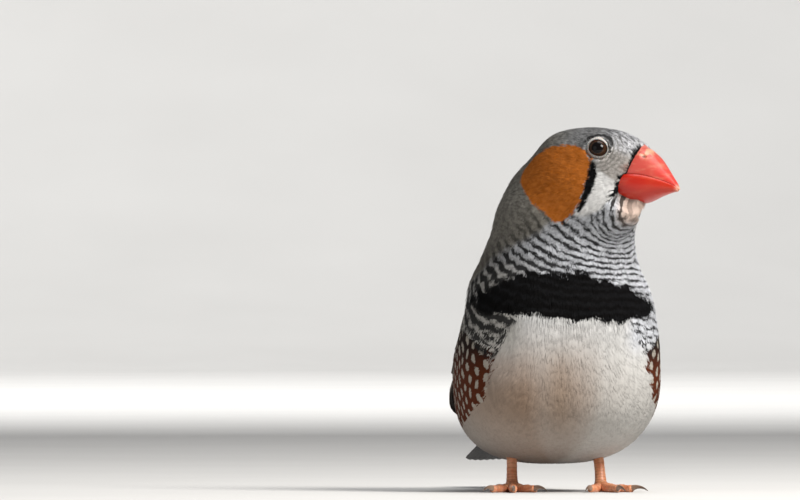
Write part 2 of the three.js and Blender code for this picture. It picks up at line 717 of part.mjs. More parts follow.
function claw(side, degrees, length, clawLength) {
  const d = toeDirection(side, degrees);
  const start = toePath(side, degrees, length).getPoint(1).addScaledVector(d, GAP);
  const at = (distance, height) =>
    start.clone().addScaledVector(d, distance).setZ(height);
  const path = new THREE.CatmullRomCurve3([
    at(0, 0.72),
    at(0.35 * clawLength, 0.85),
    at(0.7 * clawLength, 0.68),
    at(clawLength, 0.24),
  ]);
  return rod(path, (t) => lerp(CLAW_RADIUS, CLAW_POINT, t), 5, 6);
}

// Assembly

const shades = {
  grey: [0x8f8d8a, 0.9],
  white: [0xdcd8d2, 0.9],
  brown: [0x6b5848, 0.85],
  black: [0x1c1a19, 0.85],
  bill: [0xd8341c, 0.35],
  eye: [0x2a1608, 0.08],
  bare: [0xb8b2aa, 0.7],
  foot: [0xe08a5a, 0.5],
  claw: [0x6b5a4c, 0.4],
};

const finch = new THREE.Group();

function add(name, solid, shade) {
  const [color, roughness] = shades[shade];
  const material = new THREE.MeshStandardMaterial({ color, roughness, metalness: 0 });
  const mesh = new THREE.Mesh(geometryOf(largest(solid)), material);
  mesh.name = name;
  finch.add(mesh);
}

add("torso", torso(), "white");
add("neck", neck(), "grey");
add("head", head(), "grey");
add("bill_upper", upperBill(0).subtract(nostril(1).add(nostril(-1))), "bill");
add("bill_lower", lowerBill(0), "bill");
add("tail", tail(), "black");
for (const [word, side] of [["left", 1], ["right", -1]]) {
  add(`eye_${word}`, eyeball(side, EYE_RADIUS), "eye");
  add(`eyelid_${word}`, eyelid(side), "bare");
  add(`wing_${word}`, wing(side), "brown");
  add(`leg_${word}`, leg(side), "foot");
  add(`foot_${word}`, foot(side), "foot");
  for (const [toe, degrees, length, clawLength] of TOES) {
    add(`claw_${toe}_${word}`, claw(side, degrees, length, clawLength), "claw");
  }
}

// The row's origin is the middle of the bird's bounding box, at the floor.
const box = new THREE.Box3().setFromObject(finch);
const middle = box.getCenter(vec(0, 0, 0)).setZ(0);
finch.children.forEach((mesh) => mesh.geometry.translate(-middle.x, -middle.y, 0));

export default finch;
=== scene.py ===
"""Looks for a male zebra finch, life size and still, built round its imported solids.

Shapes are worked out in millimetres in the bird's own frame: +Z up, floor at z = 0, the body
faces -Y and its left side is +X. to_row() turns them into the row's metres.
"""
import math
from functools import partial

import bpy
import numpy as np
from mathutils import Matrix, Vector
from mathutils.kdtree import KDTree


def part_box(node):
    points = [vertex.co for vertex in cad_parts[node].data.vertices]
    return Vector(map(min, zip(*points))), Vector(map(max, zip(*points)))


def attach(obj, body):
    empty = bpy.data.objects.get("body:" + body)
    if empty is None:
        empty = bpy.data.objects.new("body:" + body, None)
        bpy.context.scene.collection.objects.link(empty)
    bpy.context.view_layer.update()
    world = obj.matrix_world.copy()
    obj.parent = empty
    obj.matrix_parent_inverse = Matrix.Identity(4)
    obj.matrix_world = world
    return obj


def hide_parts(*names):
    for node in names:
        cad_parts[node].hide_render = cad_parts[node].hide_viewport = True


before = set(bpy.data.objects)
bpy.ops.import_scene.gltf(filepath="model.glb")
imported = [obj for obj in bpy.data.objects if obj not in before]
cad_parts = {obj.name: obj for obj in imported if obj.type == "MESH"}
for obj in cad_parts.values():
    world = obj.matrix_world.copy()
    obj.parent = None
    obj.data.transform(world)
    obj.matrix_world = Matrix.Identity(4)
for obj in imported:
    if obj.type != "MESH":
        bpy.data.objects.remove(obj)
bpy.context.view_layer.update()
rng = np.random.default_rng(7)

MM = 0.001  # metres

# Driving dimensions, the same as the solids'
BLEND = 1.1  # how softly neighbouring masses run together
EYE_LINE = np.array([8.19, -13.28, 56.3])  # midpoint between the eyes
HEAD_YAW = 43  # degrees that the head turns to the bird's left
HEAD_PITCH = 15
HEAD_ROLL = -16
EYE_RADIUS = 1.9
EYE_SEAT = (-0.4, 5.4, -0.2)  # left eyeball's centre in the head frame
EYE_TURN = 66  # degrees from straight ahead to where an eye looks
EYE_LIFT = 5
BILL_ROOT = 4.2
BILL_TIP = 14.35
JAW_WIDTH = 1.1
WING_SINK = 2.1
WING_LIFT = 0.4
TAIL_START = (0, 27.3, 14.6)
TAIL_MIDDLE = (0, 42.5, 9.5)
TAIL_END = (0, 58, 5)
TAIL_HALF_WIDTH = (3.6, 6.7)
FOOT_SIDE = 7.6
FOOT_Y = 0.2
HUB_HEIGHT = 1.3
TOE_RADIUS = 0.78
TOE_HEIGHT = 0.6
TOE_ARCH = 0.06
LEG_RADIUS = 0.95
TOES = {  # degrees outward from straight ahead, length, claw length
    "middle": (8, 9.6, 4),
    "inner": (-24, 7.2, 3.5),
    "outer": (36, 7.6, 3.5),
    "hind": (172, 6.6, 4.8),
}
SIDES = {"left": 1, "right": -1}

# The photograph's view: where the camera stands, and what one millimetre measures in it
VIEW_AZIMUTH = -9  # degrees from straight in front, towards the bird's right
PIXELS_PER_MM = 5.95
FRAME_PIXELS = 800
CAMERA_DISTANCE = 2600
VIEW_PLANE = 12  # the scale holds this far in front of the bird's origin
VIEW_SIDE = -26.47  # from the bird's origin to the picture's middle, along the picture
VIEW_HEIGHT = 40.84
SENSOR = 36


def spin(axis, degrees):
    return np.array(Matrix.Rotation(math.radians(degrees), 3, axis))


def lerp(low, high, share):
    return low + (high - low) * share


def smoothstep(low, high, value):
    """From 0 at low to 1 at high, with both ends eased."""
    share = np.clip((np.asarray(value, float) - low) / (high - low), 0, 1)
    return share * share * (3 - 2 * share)


def at(value, steps):
    """A value read off straight lines between pairs of places and values."""
    places, values = zip(*steps)
    return np.interp(value, places, values)


def bell(offset, width):
    """1 where the offset is 0, and near 0 beyond about twice the width."""
    return np.exp(-((offset / width) ** 2))


def unit(vectors):
    length = np.linalg.norm(vectors, axis=-1, keepdims=True)
    return vectors / np.maximum(length, 1e-9)


def tree_of(points):
    """A search tree for the nearest of many points."""
    tree = KDTree(len(points))
    for i, point in enumerate(points):
        tree.insert(point, i)
    tree.balance()
    return tree


HEAD = spin("Z", HEAD_YAW - 90) @ spin("Y", HEAD_PITCH) @ spin("X", HEAD_ROLL)


def head_point(x, y, z):
    """A point given in the head frame: x towards the bill, y to the bird's left, z up."""
    return HEAD @ np.array([x, y, z]) + EYE_LINE


def in_head(points):
    return (points - EYE_LINE) @ HEAD


def eye_centre(side):
    x, y, z = EYE_SEAT
    return head_point(x, side * y, z)


def eye_axis(side):
    """The way an eye looks."""
    turn, lift = math.radians(EYE_TURN), math.radians(EYE_LIFT)
    ahead, aside = math.cos(turn) * math.cos(lift), math.sin(turn) * math.cos(lift)
    return HEAD @ np.array([ahead, side * aside, math.sin(lift)])


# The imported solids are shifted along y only, by as much as their left eye is
EYE_LOW, EYE_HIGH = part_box("eye_left")
ROW_SHIFT = np.array([0, (EYE_LOW.y + EYE_HIGH.y) / 2 / MM - eye_centre(1)[1], 0])


def to_row(points):
    return (points + ROW_SHIFT) * MM


# The bird's smooth surface: a blend of egg-shaped masses, each a centre, half sizes, turn and
# squareness (2 is an ellipsoid)
EVEN = np.eye(3)
MASSES = [
    ((0, 0.3, 19.6), (17.1, 17.6, 14), spin("X", -14), 2.7),  # belly
    ((0, -3.4, 29.5), (15.6, 15, 12), EVEN, 2.3),  # breast
    ((0, 5, 29), (14.6, 19.5, 11), spin("X", -50), 2.2),  # back
    ((0, 14.5, 18), (11.5, 16, 8.4), spin("X", -24), 2),  # rump
    ((0, 27.5, 14.2), (4.4, 8.5, 3.2), spin("X", -17), 2),  # root of the tail
    ((0, -3.8, 39.5), (12.3, 12, 8.5), EVEN, 2),  # base of the neck
    ((0.5, -5.6, 45.6), (11.7, 11, 7.6), spin("X", -8), 2),  # neck
    ((-0.4, -4.8, 49), (8.7, 8.8, 8), EVEN, 2),  # nape
    (head_point(-4.9, 0, -4), (9, 7.2, 6.5), HEAD, 2.3),  # cranium
    (head_point(0.4, 0, -1.9), (5.5, 6, 5.2), HEAD, 2),  # face
    (head_point(2.5, 0, -0.7), (3.5, 4.5, 3.7), HEAD, 3),  # feathers round the bill
    (head_point(-1.9, 0, -1.1), (6.2, 5.9, 4.5), HEAD, 2.3),  # forehead
    (head_point(-2.4, 0, -8.2), (8.6, 7.4, 5.6), HEAD, 2),  # throat
    (head_point(3.8, 0, -7.2), (4.4, 3.8, 2.9), HEAD, 2),  # chin
    (head_point(-4.8, 4.0, -7), (6.2, 4, 6), HEAD, 2),  # left cheek
    (head_point(-4.8, -4.0, -7), (6.2, 4, 6), HEAD, 2),  # right cheek
]


def field(points):
    """Distance out from the bird's surface, nearly, and the way out."""
    total = np.full(len(points), 1e-30)
    way = np.zeros((len(points), 3))
    for centre, size, turn, square in MASSES:
        size = np.array(size, float)
        local = (points - np.array(centre, float)) @ turn
        terms = np.abs(local / size)
        powered = terms * terms if square == 2 else terms**square
        level = np.maximum(powered.sum(1) ** (1 / square), 1e-3)
        slopes = (terms / level[:, None]) ** (square - 1) / size
        steep = np.linalg.norm(slopes, axis=1)
        weight = np.exp(np.clip((1 - level) / steep / BLEND, -60, 60))
        total += weight
        way += (weight / steep)[:, None] * (slopes * np.sign(local)) @ turn.T
    return -BLEND * np.log(total), unit(way)


def on_level(points, level, rounds=3):
    """Moves points along the way out until they stand this far off the surface."""
    for _ in range(rounds):
        distance, way = field(points)
        points = points + way * (level - distance)[:, None]
    return points


# The surface as a mesh of even quads

SKIN_STEP = 0.62
SKIN_LOW = np.array([-19.5, -24.5, 2.0])  # a box round the surface
SKIN_HIGH = np.array([19.5, 39.0, 64.5])
RELAX_ROUNDS = 4
RELAX_SHARE = 0.6


def surface_quads(step):
    """A point in each cell of a grid that the surface passes, and quads between such cells."""
    counts = np.ceil((SKIN_HIGH - SKIN_LOW) / step).astype(int)
    axes = [SKIN_LOW[i] + step * np.arange(counts[i]) for i in range(3)]
    grid = np.stack(np.meshgrid(*axes, indexing="ij"), -1).reshape(-1, 3)
    inside = (field(grid)[0] < 0).reshape(counts)
    corners = sum(
        inside[i : counts[0] - 1 + i, j : counts[1] - 1 + j, k : counts[2] - 1 + k].astype(int)
        for i in (0, 1)
        for j in (0, 1)
        for k in (0, 1)
    )
    crossed = (corners > 0) & (corners < 8)
    number = np.full(corners.shape, -1)
    number[crossed] = np.arange(crossed.sum())
    quads = np.concatenate([quads_across(inside, number, axis) for axis in range(3)])
    points = on_level(SKIN_LOW + (np.argwhere(crossed) + 0.5) * step, 0, 4)
    return relaxed(points, quads), quads


def quads_across(inside, number, axis):
    """A quad round each grid edge along one axis that passes the surface, facing outwards."""
    second, third = (axis + 1) % 3, (axis + 2) % 3
    count = inside.shape[axis]
    near = np.take(inside, range(count - 1), axis)
    far = np.take(inside, range(1, count), axis)
    cells = np.argwhere(near != far)
    solid_first = near[tuple(cells.T)]
    around = []
    for back_second, back_third in ((0, 0), (1, 0), (1, 1), (0, 1)):
        shifted = cells.copy()
        shifted[:, second] -= back_second
        shifted[:, third] -= back_third
        around.append(number[tuple(shifted.T)])
    quads = np.stack(around, 1)
    quads[~solid_first] = quads[~solid_first][:, ::-1]
    return quads


def relaxed(points, quads):
    """Evens out the mesh, and keeps it on the surface."""
    for _ in range(RELAX_ROUNDS):
        total = np.zeros_like(points)
        count = np.zeros(len(points))
        for i in range(4):
            neighbours = points[quads[:, (i + 1) % 4]] + points[quads[:, i - 1]]
            np.add.at(total, quads[:, i], neighbours)
            np.add.at(count, quads[:, i], 2)
        points = on_level(lerp(points, total / count[:, None], RELAX_SHARE), 0, 2)
    return points


# Wings: a sheet laid into the flank between guide lines, on the bird's left

WING_LOWER = [
    (13, -3, 33.5), (14.8, -1.5, 27), (16.2, 4.5, 19.5), (15.6, 12, 14.4), (11.4, 20.5, 12.4),
    (7.2, 28, 12.6), (3.8, 38.5, 13.6),
]
WING_MIDDLE = [
    (12.4, -2, 36), (13.6, 2, 31), (13.4, 9, 25), (11.8, 17, 19.2), (9.2, 24, 16.4),
    (6.4, 31, 15.2), (3.6, 38.5, 14),
]
WING_UPPER = [
    (10.8, -0.5, 38), (9.8, 4, 36.4), (8.2, 11, 31.4), (6.4, 18, 25), (5, 24.5, 20.8),
    (4.2, 31, 17), (3.3, 38.5, 14.4),
]
SHEET_ROWS = 72
SHEET_COLUMNS = 20
WING_LEAVES = (0.45, 0.8)  # shares of its length between which the wing comes off the flank
PUSH_ROUNDS = 12


def along_points(points, shares):
    """A smooth line through points, at shares of its length from 0 to 1."""
    points = np.array(points, float)
    ends = np.vstack([2 * points[0] - points[1], points, 2 * points[-1] - points[-2]])
    place = np.clip(shares, 0, 1) * (len(points) - 1)
    first = np.minimum(place.astype(int), len(points) - 2)
    t = (place - first)[:, None]
    a, b, c, d = (ends[first + i] for i in range(4))
    return 0.5 * (
        2 * b + (c - a) * t + (2 * a - 5 * b + 4 * c - d) * t**2 + (3 * b - 3 * c + d - a) * t**3
    )


def wing_sheet():
    """The grid of points over which the wing's feathers lie."""
    along = np.repeat(np.linspace(0, 1, SHEET_ROWS + 1), SHEET_COLUMNS + 1)
    across = np.tile(np.linspace(0, 1, SHEET_COLUMNS + 1), SHEET_ROWS + 1)[:, None]
    points = (
        along_points(WING_LOWER, along) * (1 - across) * (1 - 2 * across)
        + along_points(WING_MIDDLE, along) * 4 * across * (1 - across)
        + along_points(WING_UPPER, along) * across * (2 * across - 1)
    )
    clearance = lerp(-WING_SINK, WING_LIFT, smoothstep(*WING_LEAVES, along))
    for _ in range(PUSH_ROUNDS):
        distance, way = field(points)
        points = points + way * np.maximum(clearance - distance, 0)[:, None]
    return points.reshape(SHEET_ROWS + 1, SHEET_COLUMNS + 1, 3)


SHEET = wing_sheet()
SHEET_NORMALS = unit(np.cross(np.gradient(SHEET, axis=0), np.gradient(SHEET, axis=1)))


def on_sheet(values, along, across):
    """A value of the sheet's grid at shares along and across, and straight on past its edges."""
    u = np.asarray(along) * SHEET_ROWS
    v = np.asarray(across) * SHEET_COLUMNS
    i = np.clip(np.floor(u), 0, SHEET_ROWS - 1).astype(int)
    j = np.clip(np.floor(v), 0, SHEET_COLUMNS - 1).astype(int)
    du, dv = (u - i)[..., None], (v - j)[..., None]
    near = values[i, j] * (1 - dv) + values[i, j + 1] * dv
    far = values[i + 1, j] * (1 - dv) + values[i + 1, j + 1] * dv
    return near * (1 - du) + far * du


def wing_point(side, along, across, height):
    """The point over a wing's sheet at shares along and across it."""
    inner_along, inner_across = np.clip(along, 0, 1), np.clip(across, 0, 1)
    normal = unit(on_sheet(SHEET_NORMALS, inner_along, inner_across))
    point = on_sheet(SHEET, along, across) + normal * np.asarray(height)[..., None]
    return point * np.array([side, 1, 1])


def wing_place(points):
    """For points on the body: the nearest place on either wing's sheet, and height over it."""
    flat, normals = SHEET.reshape(-1, 3), SHEET_NORMALS.reshape(-1, 3)
    tree = tree_of(flat)
    on_left = np.column_stack([np.abs(points[:, 0]), points[:, 1:]])
    nearest = np.array([tree.find(p)[1] for p in on_left])
    along = nearest // (SHEET_COLUMNS + 1) / SHEET_ROWS
    across = nearest % (SHEET_COLUMNS + 1) / SHEET_COLUMNS
    offset = on_left - flat[nearest]
    height = (offset * normals[nearest]).sum(1)
    aside = np.linalg.norm(offset - normals[nearest] * height[:, None], axis=1)
    edge = (along <= 0) | (along >= 1) | (across <= 0) | (across >= 1)
    return along, across, height, np.where(edge, aside, 0)


# Markings: distances in millimetres, below 0 inside a marking

AWAY = 9  # the distance where a marking has no place
CHEEK_PATCH = [  # outline in the head frame, as x and z
    (-3.9, -0.9), (-1.6, -1.2), (-0.4, -1.8), (0.4, -3.0), (0.95, -5.0), (1.2, -7.2), (1.15, -9.3),
    (0.5, -11.2), (-0.5, -12.6), (-1.5, -13.9), (-2.6, -14.2), (-4.4, -13.5), (-6.6, -12.8),
    (-9.2, -11.5), (-11.8, -9.9), (-12.9, -8.4), (-12.8, -6.4), (-11.6, -4.6), (-9.0, -2.6),
    (-6.3, -1.5),
]
# The black lines under the eye and round the bill, and their half widths by height
TEAR_LINE = [(0.5, -2.5), (1.25, -3.6), (1.6, -5.4), (1.75, -7.4), (1.6, -9.4), (0.95, -11.4)]
TEAR_WIDTH = [
    (-12, 0.1), (-11.2, 0.3), (-9.4, 0.45), (-7, 0.64), (-4.6, 0.7), (-3, 0.4), (-2, 0),
]
BILL_LINE = [
    (4.9, 3.2), (5.7, 2.0), (5.95, 0.4), (6.0, -1.2), (5.8, -3.2), (5.45, -5.0), (5.2, -6.8),
    (4.75, -7.9),
]
BILL_LINE_WIDTH = [
    (-8.2, 0), (-7.4, 0.3), (-5, 0.5), (-3.3, 0.6), (-2, 0.25), (-1, 0.3), (0.6, 0.55), (2.2, 0.4),
    (3.4, 0.1),
]
STRIPE = [  # the white stripe between them
    (1.7, -3.4), (3.6, -3.9), (5.9, -4.6), (5.5, -6.6), (4.9, -8.1), (3.9, -10.1), (2.2, -11.4),
    (0.3, -12.3), (0.7, -11.0), (1.5, -9.4), (1.7, -7.4), (1.7, -5.2),
]
CHIN = head_point(7.0, 0, -7.0)  # the throat's bars are rings round this point
CHIN_PITCH = 1.2
CHIN_FIRST = 3.4
# The neck's bars lie at these reaches from a far point, where one direction counts for less
BAR_CENTRE = np.array([33.1, -12.1, 80.3])
BAR_AXIS = np.array([0.71, -0.014, 0.70])
BAR_STRETCH = 0.46
BAR_REACH = [
    20.9, 21.4, 21.9, 22.4, 22.95, 23.5, 24.05, 24.6, 25.2, 25.8, 26.4, 27.05, 27.7, 28.5, 29.43,
    30.3, 31.2, 32.1, 33.0, 34.0, 35.0,
]
BAR_FIRST = 1.0
# Degrees round the body are taken from an upright line this far behind its origin
BODY_AXIS = 4
NECK_DEGREE = 0.2  # millimetres to a degree
FLANK_DEGREE = 0.27
NECK_WIDTH = [  # by height, degrees from the neck's front that its bars reach
    (33, 100), (35, 82), (37, 67), (39, 64), (41, 57), (43, 50), (50, 46),
]
BARS_END = [  # by degrees from the body's midline, height of the lowest bar
    (20, 32), (27, 28.3), (33, 24.4), (38, 22.6), (44, 23.5), (60, 27), (100, 29),
]
BAND_TOP = [  # height of the breast band's edges, by degrees round the body
    (-70, 32.4), (-55, 33.4), (-45, 34.3), (-36, 35.6), (-28, 36.5), (-13, 37.1), (1, 37.1),
    (8, 36.3), (15, 35.8), (23, 35.1), (31, 34.1), (39, 33.3), (46, 31.6), (52, 30.6),
]
BAND_BOTTOM = [
    (-70, 32.3), (-61, 31.6), (-43, 30.2), (-28, 30.0), (-15, 29.6), (-2, 29.1), (1.5, 28.6),
    (6.7, 29.2), (13.4, 28.6), (20.7, 28.2), (26, 29.2), (36, 29.4), (47.5, 30.4), (54, 30.7),
]
FLANK_FRONT = [  # by height, degrees from the midline where the chestnut starts
    (9, 125), (10.6, 97), (12.3, 66), (14.8, 48), (16.5, 42), (19.8, 39.5), (23.2, 37.5),
    (25.7, 46), (27.6, 66),
]
FLANK_TOP = [(32, 25.6), (45, 26), (60, 27.5), (100, 29)]  # its height, by degrees
FLANK_UNDER_WING = [(6, 30), (9, 23), (14, 18.5), (20, 15), (27, 13)]  # and by y, behind the wrist
# These two tables spread the belly's buff, which is partly painted shade: darker towards the bottom
# and on the bird's right
BELLY_PALE = [(-70, 0.4), (-22, 0), (-14, 0.25), (2, 0.3), (8, 0.5), (14, 0.85), (28, 1)]
BELLY_SHARE = [(8, 0.8), (14, 1), (17, 1), (22, 0.75), (26, 0.3), (30, 0)]
# Painted light and shade on the pale between the neck's bars, by degrees round the body
NECK_LIGHT = [(-45, 0.70), (-5, 0.93), (40, 1.2)]


def polygon_distance(x, z, outline):
    """Distance to an outline, below 0 inside it."""
    outline = np.array(outline)
    best = np.full(len(x), 1e9)
    inside = np.zeros(len(x), bool)
    for (ax, az), (bx, bz) in zip(outline, np.roll(outline, -1, axis=0)):
        best = np.minimum(best, segment_distance(x, z, ax, az, bx, bz))
        crosses = (az > z) != (bz > z)
        with np.errstate(divide="ignore", invalid="ignore"):
            meet = ax + (z - az) / (bz - az) * (bx - ax)
        inside ^= crosses & (x < meet)
    return np.where(inside, -best, best)


def segment_distance(x, z, ax, az, bx, bz):
    dx, dz = bx - ax, bz - az
    t = np.clip(((x - ax) * dx + (z - az) * dz) / (dx * dx + dz * dz), 0, 1)
    return np.hypot(x - ax - t * dx, z - az - t * dz)


def line_distance(x, z, line):
    return np.min([segment_distance(x, z, *a, *b) for a, b in zip(line, line[1:])], axis=0)


def mix(low, high, share):
    """Colours of many points, each turned towards one colour by its own share."""
    return low + (np.array(high) - low) * share[:, None]


GREY_CROWN = (0.25, 0.25, 0.25)
GREY_LORE = (0.50, 0.465, 0.43)
GREY_FOREHEAD = (0.74, 0.74, 0.76)
GREY_NECK = (0.60, 0.615, 0.65)
BROWN_NAPE = (0.235, 0.22, 0.19)
BROWN_BACK = (0.165, 0.136, 0.100)
WHITE = (0.60, 0.60, 0.59)
WHITE_CHIN = (0.80, 0.62, 0.52)
WHITE_STRIPE = (0.83, 0.82, 0.80)
# The belly's buff and tan are partly plumage colour and partly painted shade; its pale grey is
# white with painted shade
BUFF_AND_SHADE_BELLY = (0.25, 0.175, 0.125)
SHADED_PALE_BELLY = (0.44, 0.425, 0.40)
TAN_AND_SHADE_MIDDLE = (0.20, 0.125, 0.07)
GREY_BREAST = (0.40, 0.385, 0.355)
# Painted shade: a darker grey for the pale between the bars on the right shoulder
SHADED_GREY_SHOULDER = (0.42, 0.405, 0.375)
BROWN_GAPE = (0.26, 0.13, 0.10)


def bar_phase(points):
    """Whole numbers lie on the dark bars, which run round the chin, then round the neck."""
    x, y, z = points.T
    # The bird's left side mirrors its right one, about a midline that turns with the head
    around = np.degrees(np.arctan2(x, BODY_AXIS - y))
    mirror = lerp(22, 50, smoothstep(33, 42, z))
    turned = np.radians(np.where(around > mirror, 2 * mirror - around, around))
    radius = np.hypot(x, BODY_AXIS - y)
    seen = np.stack([radius * np.sin(turned), BODY_AXIS - radius * np.cos(turned), z], 1)
    offset = seen - BAR_CENTRE
    flat = (BAR_STRETCH**2 - 1) * (offset @ BAR_AXIS) ** 2
    reach = np.sqrt((offset**2).sum(1) + flat)
    on_neck = BAR_FIRST + np.interp(reach, BAR_REACH, np.arange(len(BAR_REACH)))
    from_chin = np.linalg.norm(points - CHIN, axis=1)
    phase = lerp((from_chin - CHIN_FIRST) / CHIN_PITCH, on_neck, smoothstep(6, 9, from_chin))
    waver = np.sin(1.3 * x + 0.9 * z) * np.sin(1.1 * y - 1.7 * x) + 0.5 * np.sin(3.1 * x - 2.3 * z)
    return phase + 0.15 * waver, from_chin


class Places:
    """Where points of the bird's surface lie, in the measures that the markings use."""

    def __init__(self, points):
        self.points = points
        self.x, self.y, self.z = points.T
        self.head = in_head(points)
        self.ahead, self.aside, self.above = self.head.T
        self.aside = np.abs(self.aside)
        self.on_head = smoothstep(44, 46.5, self.z) * smoothstep(-17.5, -15.5, self.above)
        # Degrees from the body's midline, and from that of a neck that turns with the head
        self.around = np.degrees(np.arctan2(self.x, BODY_AXIS - self.y))
        self.off_body = np.abs(self.around)
        midline = HEAD_YAW * smoothstep(32, 49, self.z)
        self.off_front = np.abs((self.around - midline + 180) % 360 - 180)
        self.phase, self.from_chin = bar_phase(points)
        self.wobble = 0.16 * np.sin(2.1 * self.x + 1.3 * self.z)
        self.wobble += 0.12 * np.sin(4.7 * self.x - 3.1 * self.y + 2.3 * self.z)


def black_marks(p):
    """The line under the eye, the line round the bill and the breast band."""
    head = p.on_head > 0.02
    tear = line_distance(p.ahead, p.above, TEAR_LINE) - at(p.above, TEAR_WIDTH)
    tear = np.where(head & (p.aside > 3), tear, AWAY)
    rim = line_distance(p.ahead, p.above, BILL_LINE) - at(p.above, BILL_LINE_WIDTH)
    rim = np.where(head, rim, AWAY)
    # The bars run on into the band's upper edge, most of all at its ends
    ripple = lerp(0.3, 0.85, smoothstep(18, 42, np.abs(p.around + 3)))
    ripple = ripple * np.cos(2 * math.pi * p.phase)
    top = at(p.around, BAND_TOP) + p.wobble + ripple
    top = top + 0.35 * np.sin(1.1 * p.x) * np.sin(0.37 * p.x + 1)
    bottom = at(p.around, BAND_BOTTOM) + p.wobble
    band = np.where(p.y < 6, np.maximum(p.z - top, bottom - p.z), AWAY)
    return np.minimum(np.minimum(tear, rim), band)


def bar_marks(p, sides, cheek, stripe):
    """Where the throat, the neck and the breast's sides are barred, and where only faintly."""
    uneven_end = 0.3 * np.sin(2.9 * p.x + 1.7 * p.y)
    barred = np.maximum(sides, at(p.off_body, BARS_END) - p.z - uneven_end)
    highest = lerp(-11, -7.9, smoothstep(-4, 1, p.ahead))
    highest = lerp(highest, -5.2, smoothstep(3.6, 5.0, p.ahead))
    below_face = np.maximum.reduce([barred, p.above - highest, -stripe, -cheek])
    upper = p.z > 46
    barred = np.where(upper, below_face, barred)
    # They go on faintly over the side of the neck
    behind_cheek = smoothstep(-2.5, -8, p.above) * smoothstep(-1, -4, p.ahead)
    behind_cheek = np.where(upper, behind_cheek, 1) * smoothstep(0.1, 0.8, cheek)
    faint = 0.75 * smoothstep(6.5, 0, sides) * smoothstep(36, 40, p.z) * behind_cheek
    return barred, faint


def flank_mark(p):
    """The chestnut flank, which ends under the folded wing behind the wing's wrist."""
    ragged = 0.42 * np.sin(2.7 * p.z + 1.3 * p.x) + 0.26 * np.sin(5.3 * p.z - 2.1 * p.y)
    front = (at(p.z, FLANK_FRONT) - p.off_body) * FLANK_DEGREE + ragged
    flank = np.maximum(front, p.z - at(p.off_body, FLANK_TOP) + 0.4 + 2 * p.wobble)
    covered = np.where(p.y > 6, p.z - at(p.y, FLANK_UNDER_WING), -AWAY)
    return np.where(p.y < 27, np.maximum(flank, covered), AWAY)


def body_colour(p, sides):
    """White and buff below, grey and brown above."""
    x, y, z = p.x, p.y, p.z
    colour = np.tile(WHITE, (len(z), 1))
    # The belly is buff, paler on its left, with a tan streak down its middle; the buff and the tan
    # are partly painted shade, darker towards the bottom and on its right
    belly = mix(np.tile(BUFF_AND_SHADE_BELLY, (len(z), 1)), SHADED_PALE_BELLY, at(p.around, BELLY_PALE))
    colour = mix(colour, belly, at(z, BELLY_SHARE))
    middle = bell(p.around + 6, 6) * smoothstep(26, 20, z) * smoothstep(8, 14, z)
    colour = mix(colour, TAN_AND_SHADE_MIDDLE, 0.4 * middle * (y < 0))
    # The breast's sides are grey
    mottled = smoothstep(22, 26, z) * smoothstep(20, 30, p.off_body)
    colour = mix(colour, GREY_BREAST, mottled)
    colour = mix(colour, GREY_NECK, mottled * smoothstep(10, 30, p.around) * (y < 4))
    # The back is brown, and the nape a greyer brown
    back = smoothstep(-1, 2, y - lerp(-9, 1, smoothstep(40, 33, z)))
    back = back * smoothstep(17.5, 21.5, z + 0.25 * (14 - np.abs(x)))
    colour = mix(colour, BROWN_BACK, back)
    colour = mix(colour, BROWN_NAPE, smoothstep(28, 42, z))
    # Between the bars the neck is pale
    pale = smoothstep(31, 34, z) * smoothstep(0.6, -0.6, sides) * (y < 6)
    colour = mix(colour, GREY_NECK, pale)
    # Painted light and shade: the pale is darker on the bird's right and lighter on its left, and a
    # darker grey low on its right shoulder
    colour = colour * lerp(1, at(p.around, NECK_LIGHT), pale)[:, None]
    shoulder = pale * smoothstep(42, 36, z) * smoothstep(-5, -40, p.around)
    colour = mix(colour, SHADED_GREY_SHOULDER, shoulder)
    rump = smoothstep(18, 23, y) * smoothstep(21, 15, z)
    return mix(colour, WHITE, 0.85 * rump)


def lore_share(ahead, above):
    """1 on the smooth feathers between eye and bill."""
    return smoothstep(-1.5, 0.8, ahead) * smoothstep(1.8, -0.2, above)


def head_colour(p, colour, stripe):
    """Adds the head's colours, and gives how strongly streaks show in the plumage."""
    ahead, above = p.ahead, p.above
    crown = p.on_head * smoothstep(-7.5, -4.5, above)
    behind = p.on_head * smoothstep(-4.5, -9.5, ahead)
    chin = p.on_head * smoothstep(4.6, 2.6, p.from_chin) * (above < -5)
    gape = smoothstep(1.5, 0.3, np.hypot(ahead - 6.0, above + 1.6)) * (p.aside > 3)
    parts = (
        (GREY_CROWN, crown),
        (BROWN_NAPE, behind * smoothstep(3.5, -2, above)),
        (GREY_FOREHEAD, crown * smoothstep(-3.5, 3.5, ahead) * smoothstep(-1, 1.5, above)),
        (GREY_LORE, crown * smoothstep(0.6, 2.4, ahead) * smoothstep(1.5, -0.5, above)),
        (BROWN_GAPE, 0.8 * gape * p.on_head),
        (WHITE_CHIN, chin),
        (WHITE_STRIPE, smoothstep(0.15, -0.15, stripe)),
    )
    for part_colour, share in parts:
        colour = mix(colour, part_colour, share)
    grain = crown * lerp(0.5, 1.0, smoothstep(-6, 2, ahead)) * (1 - 0.6 * lore_share(ahead, above))
    grain = grain + 0.55 * smoothstep(28, 42, p.z) * (1 - crown)
    return colour, grain * (1 - 0.85 * chin) * (1 - 0.7 * smoothstep(0.3, -0.3, stripe))


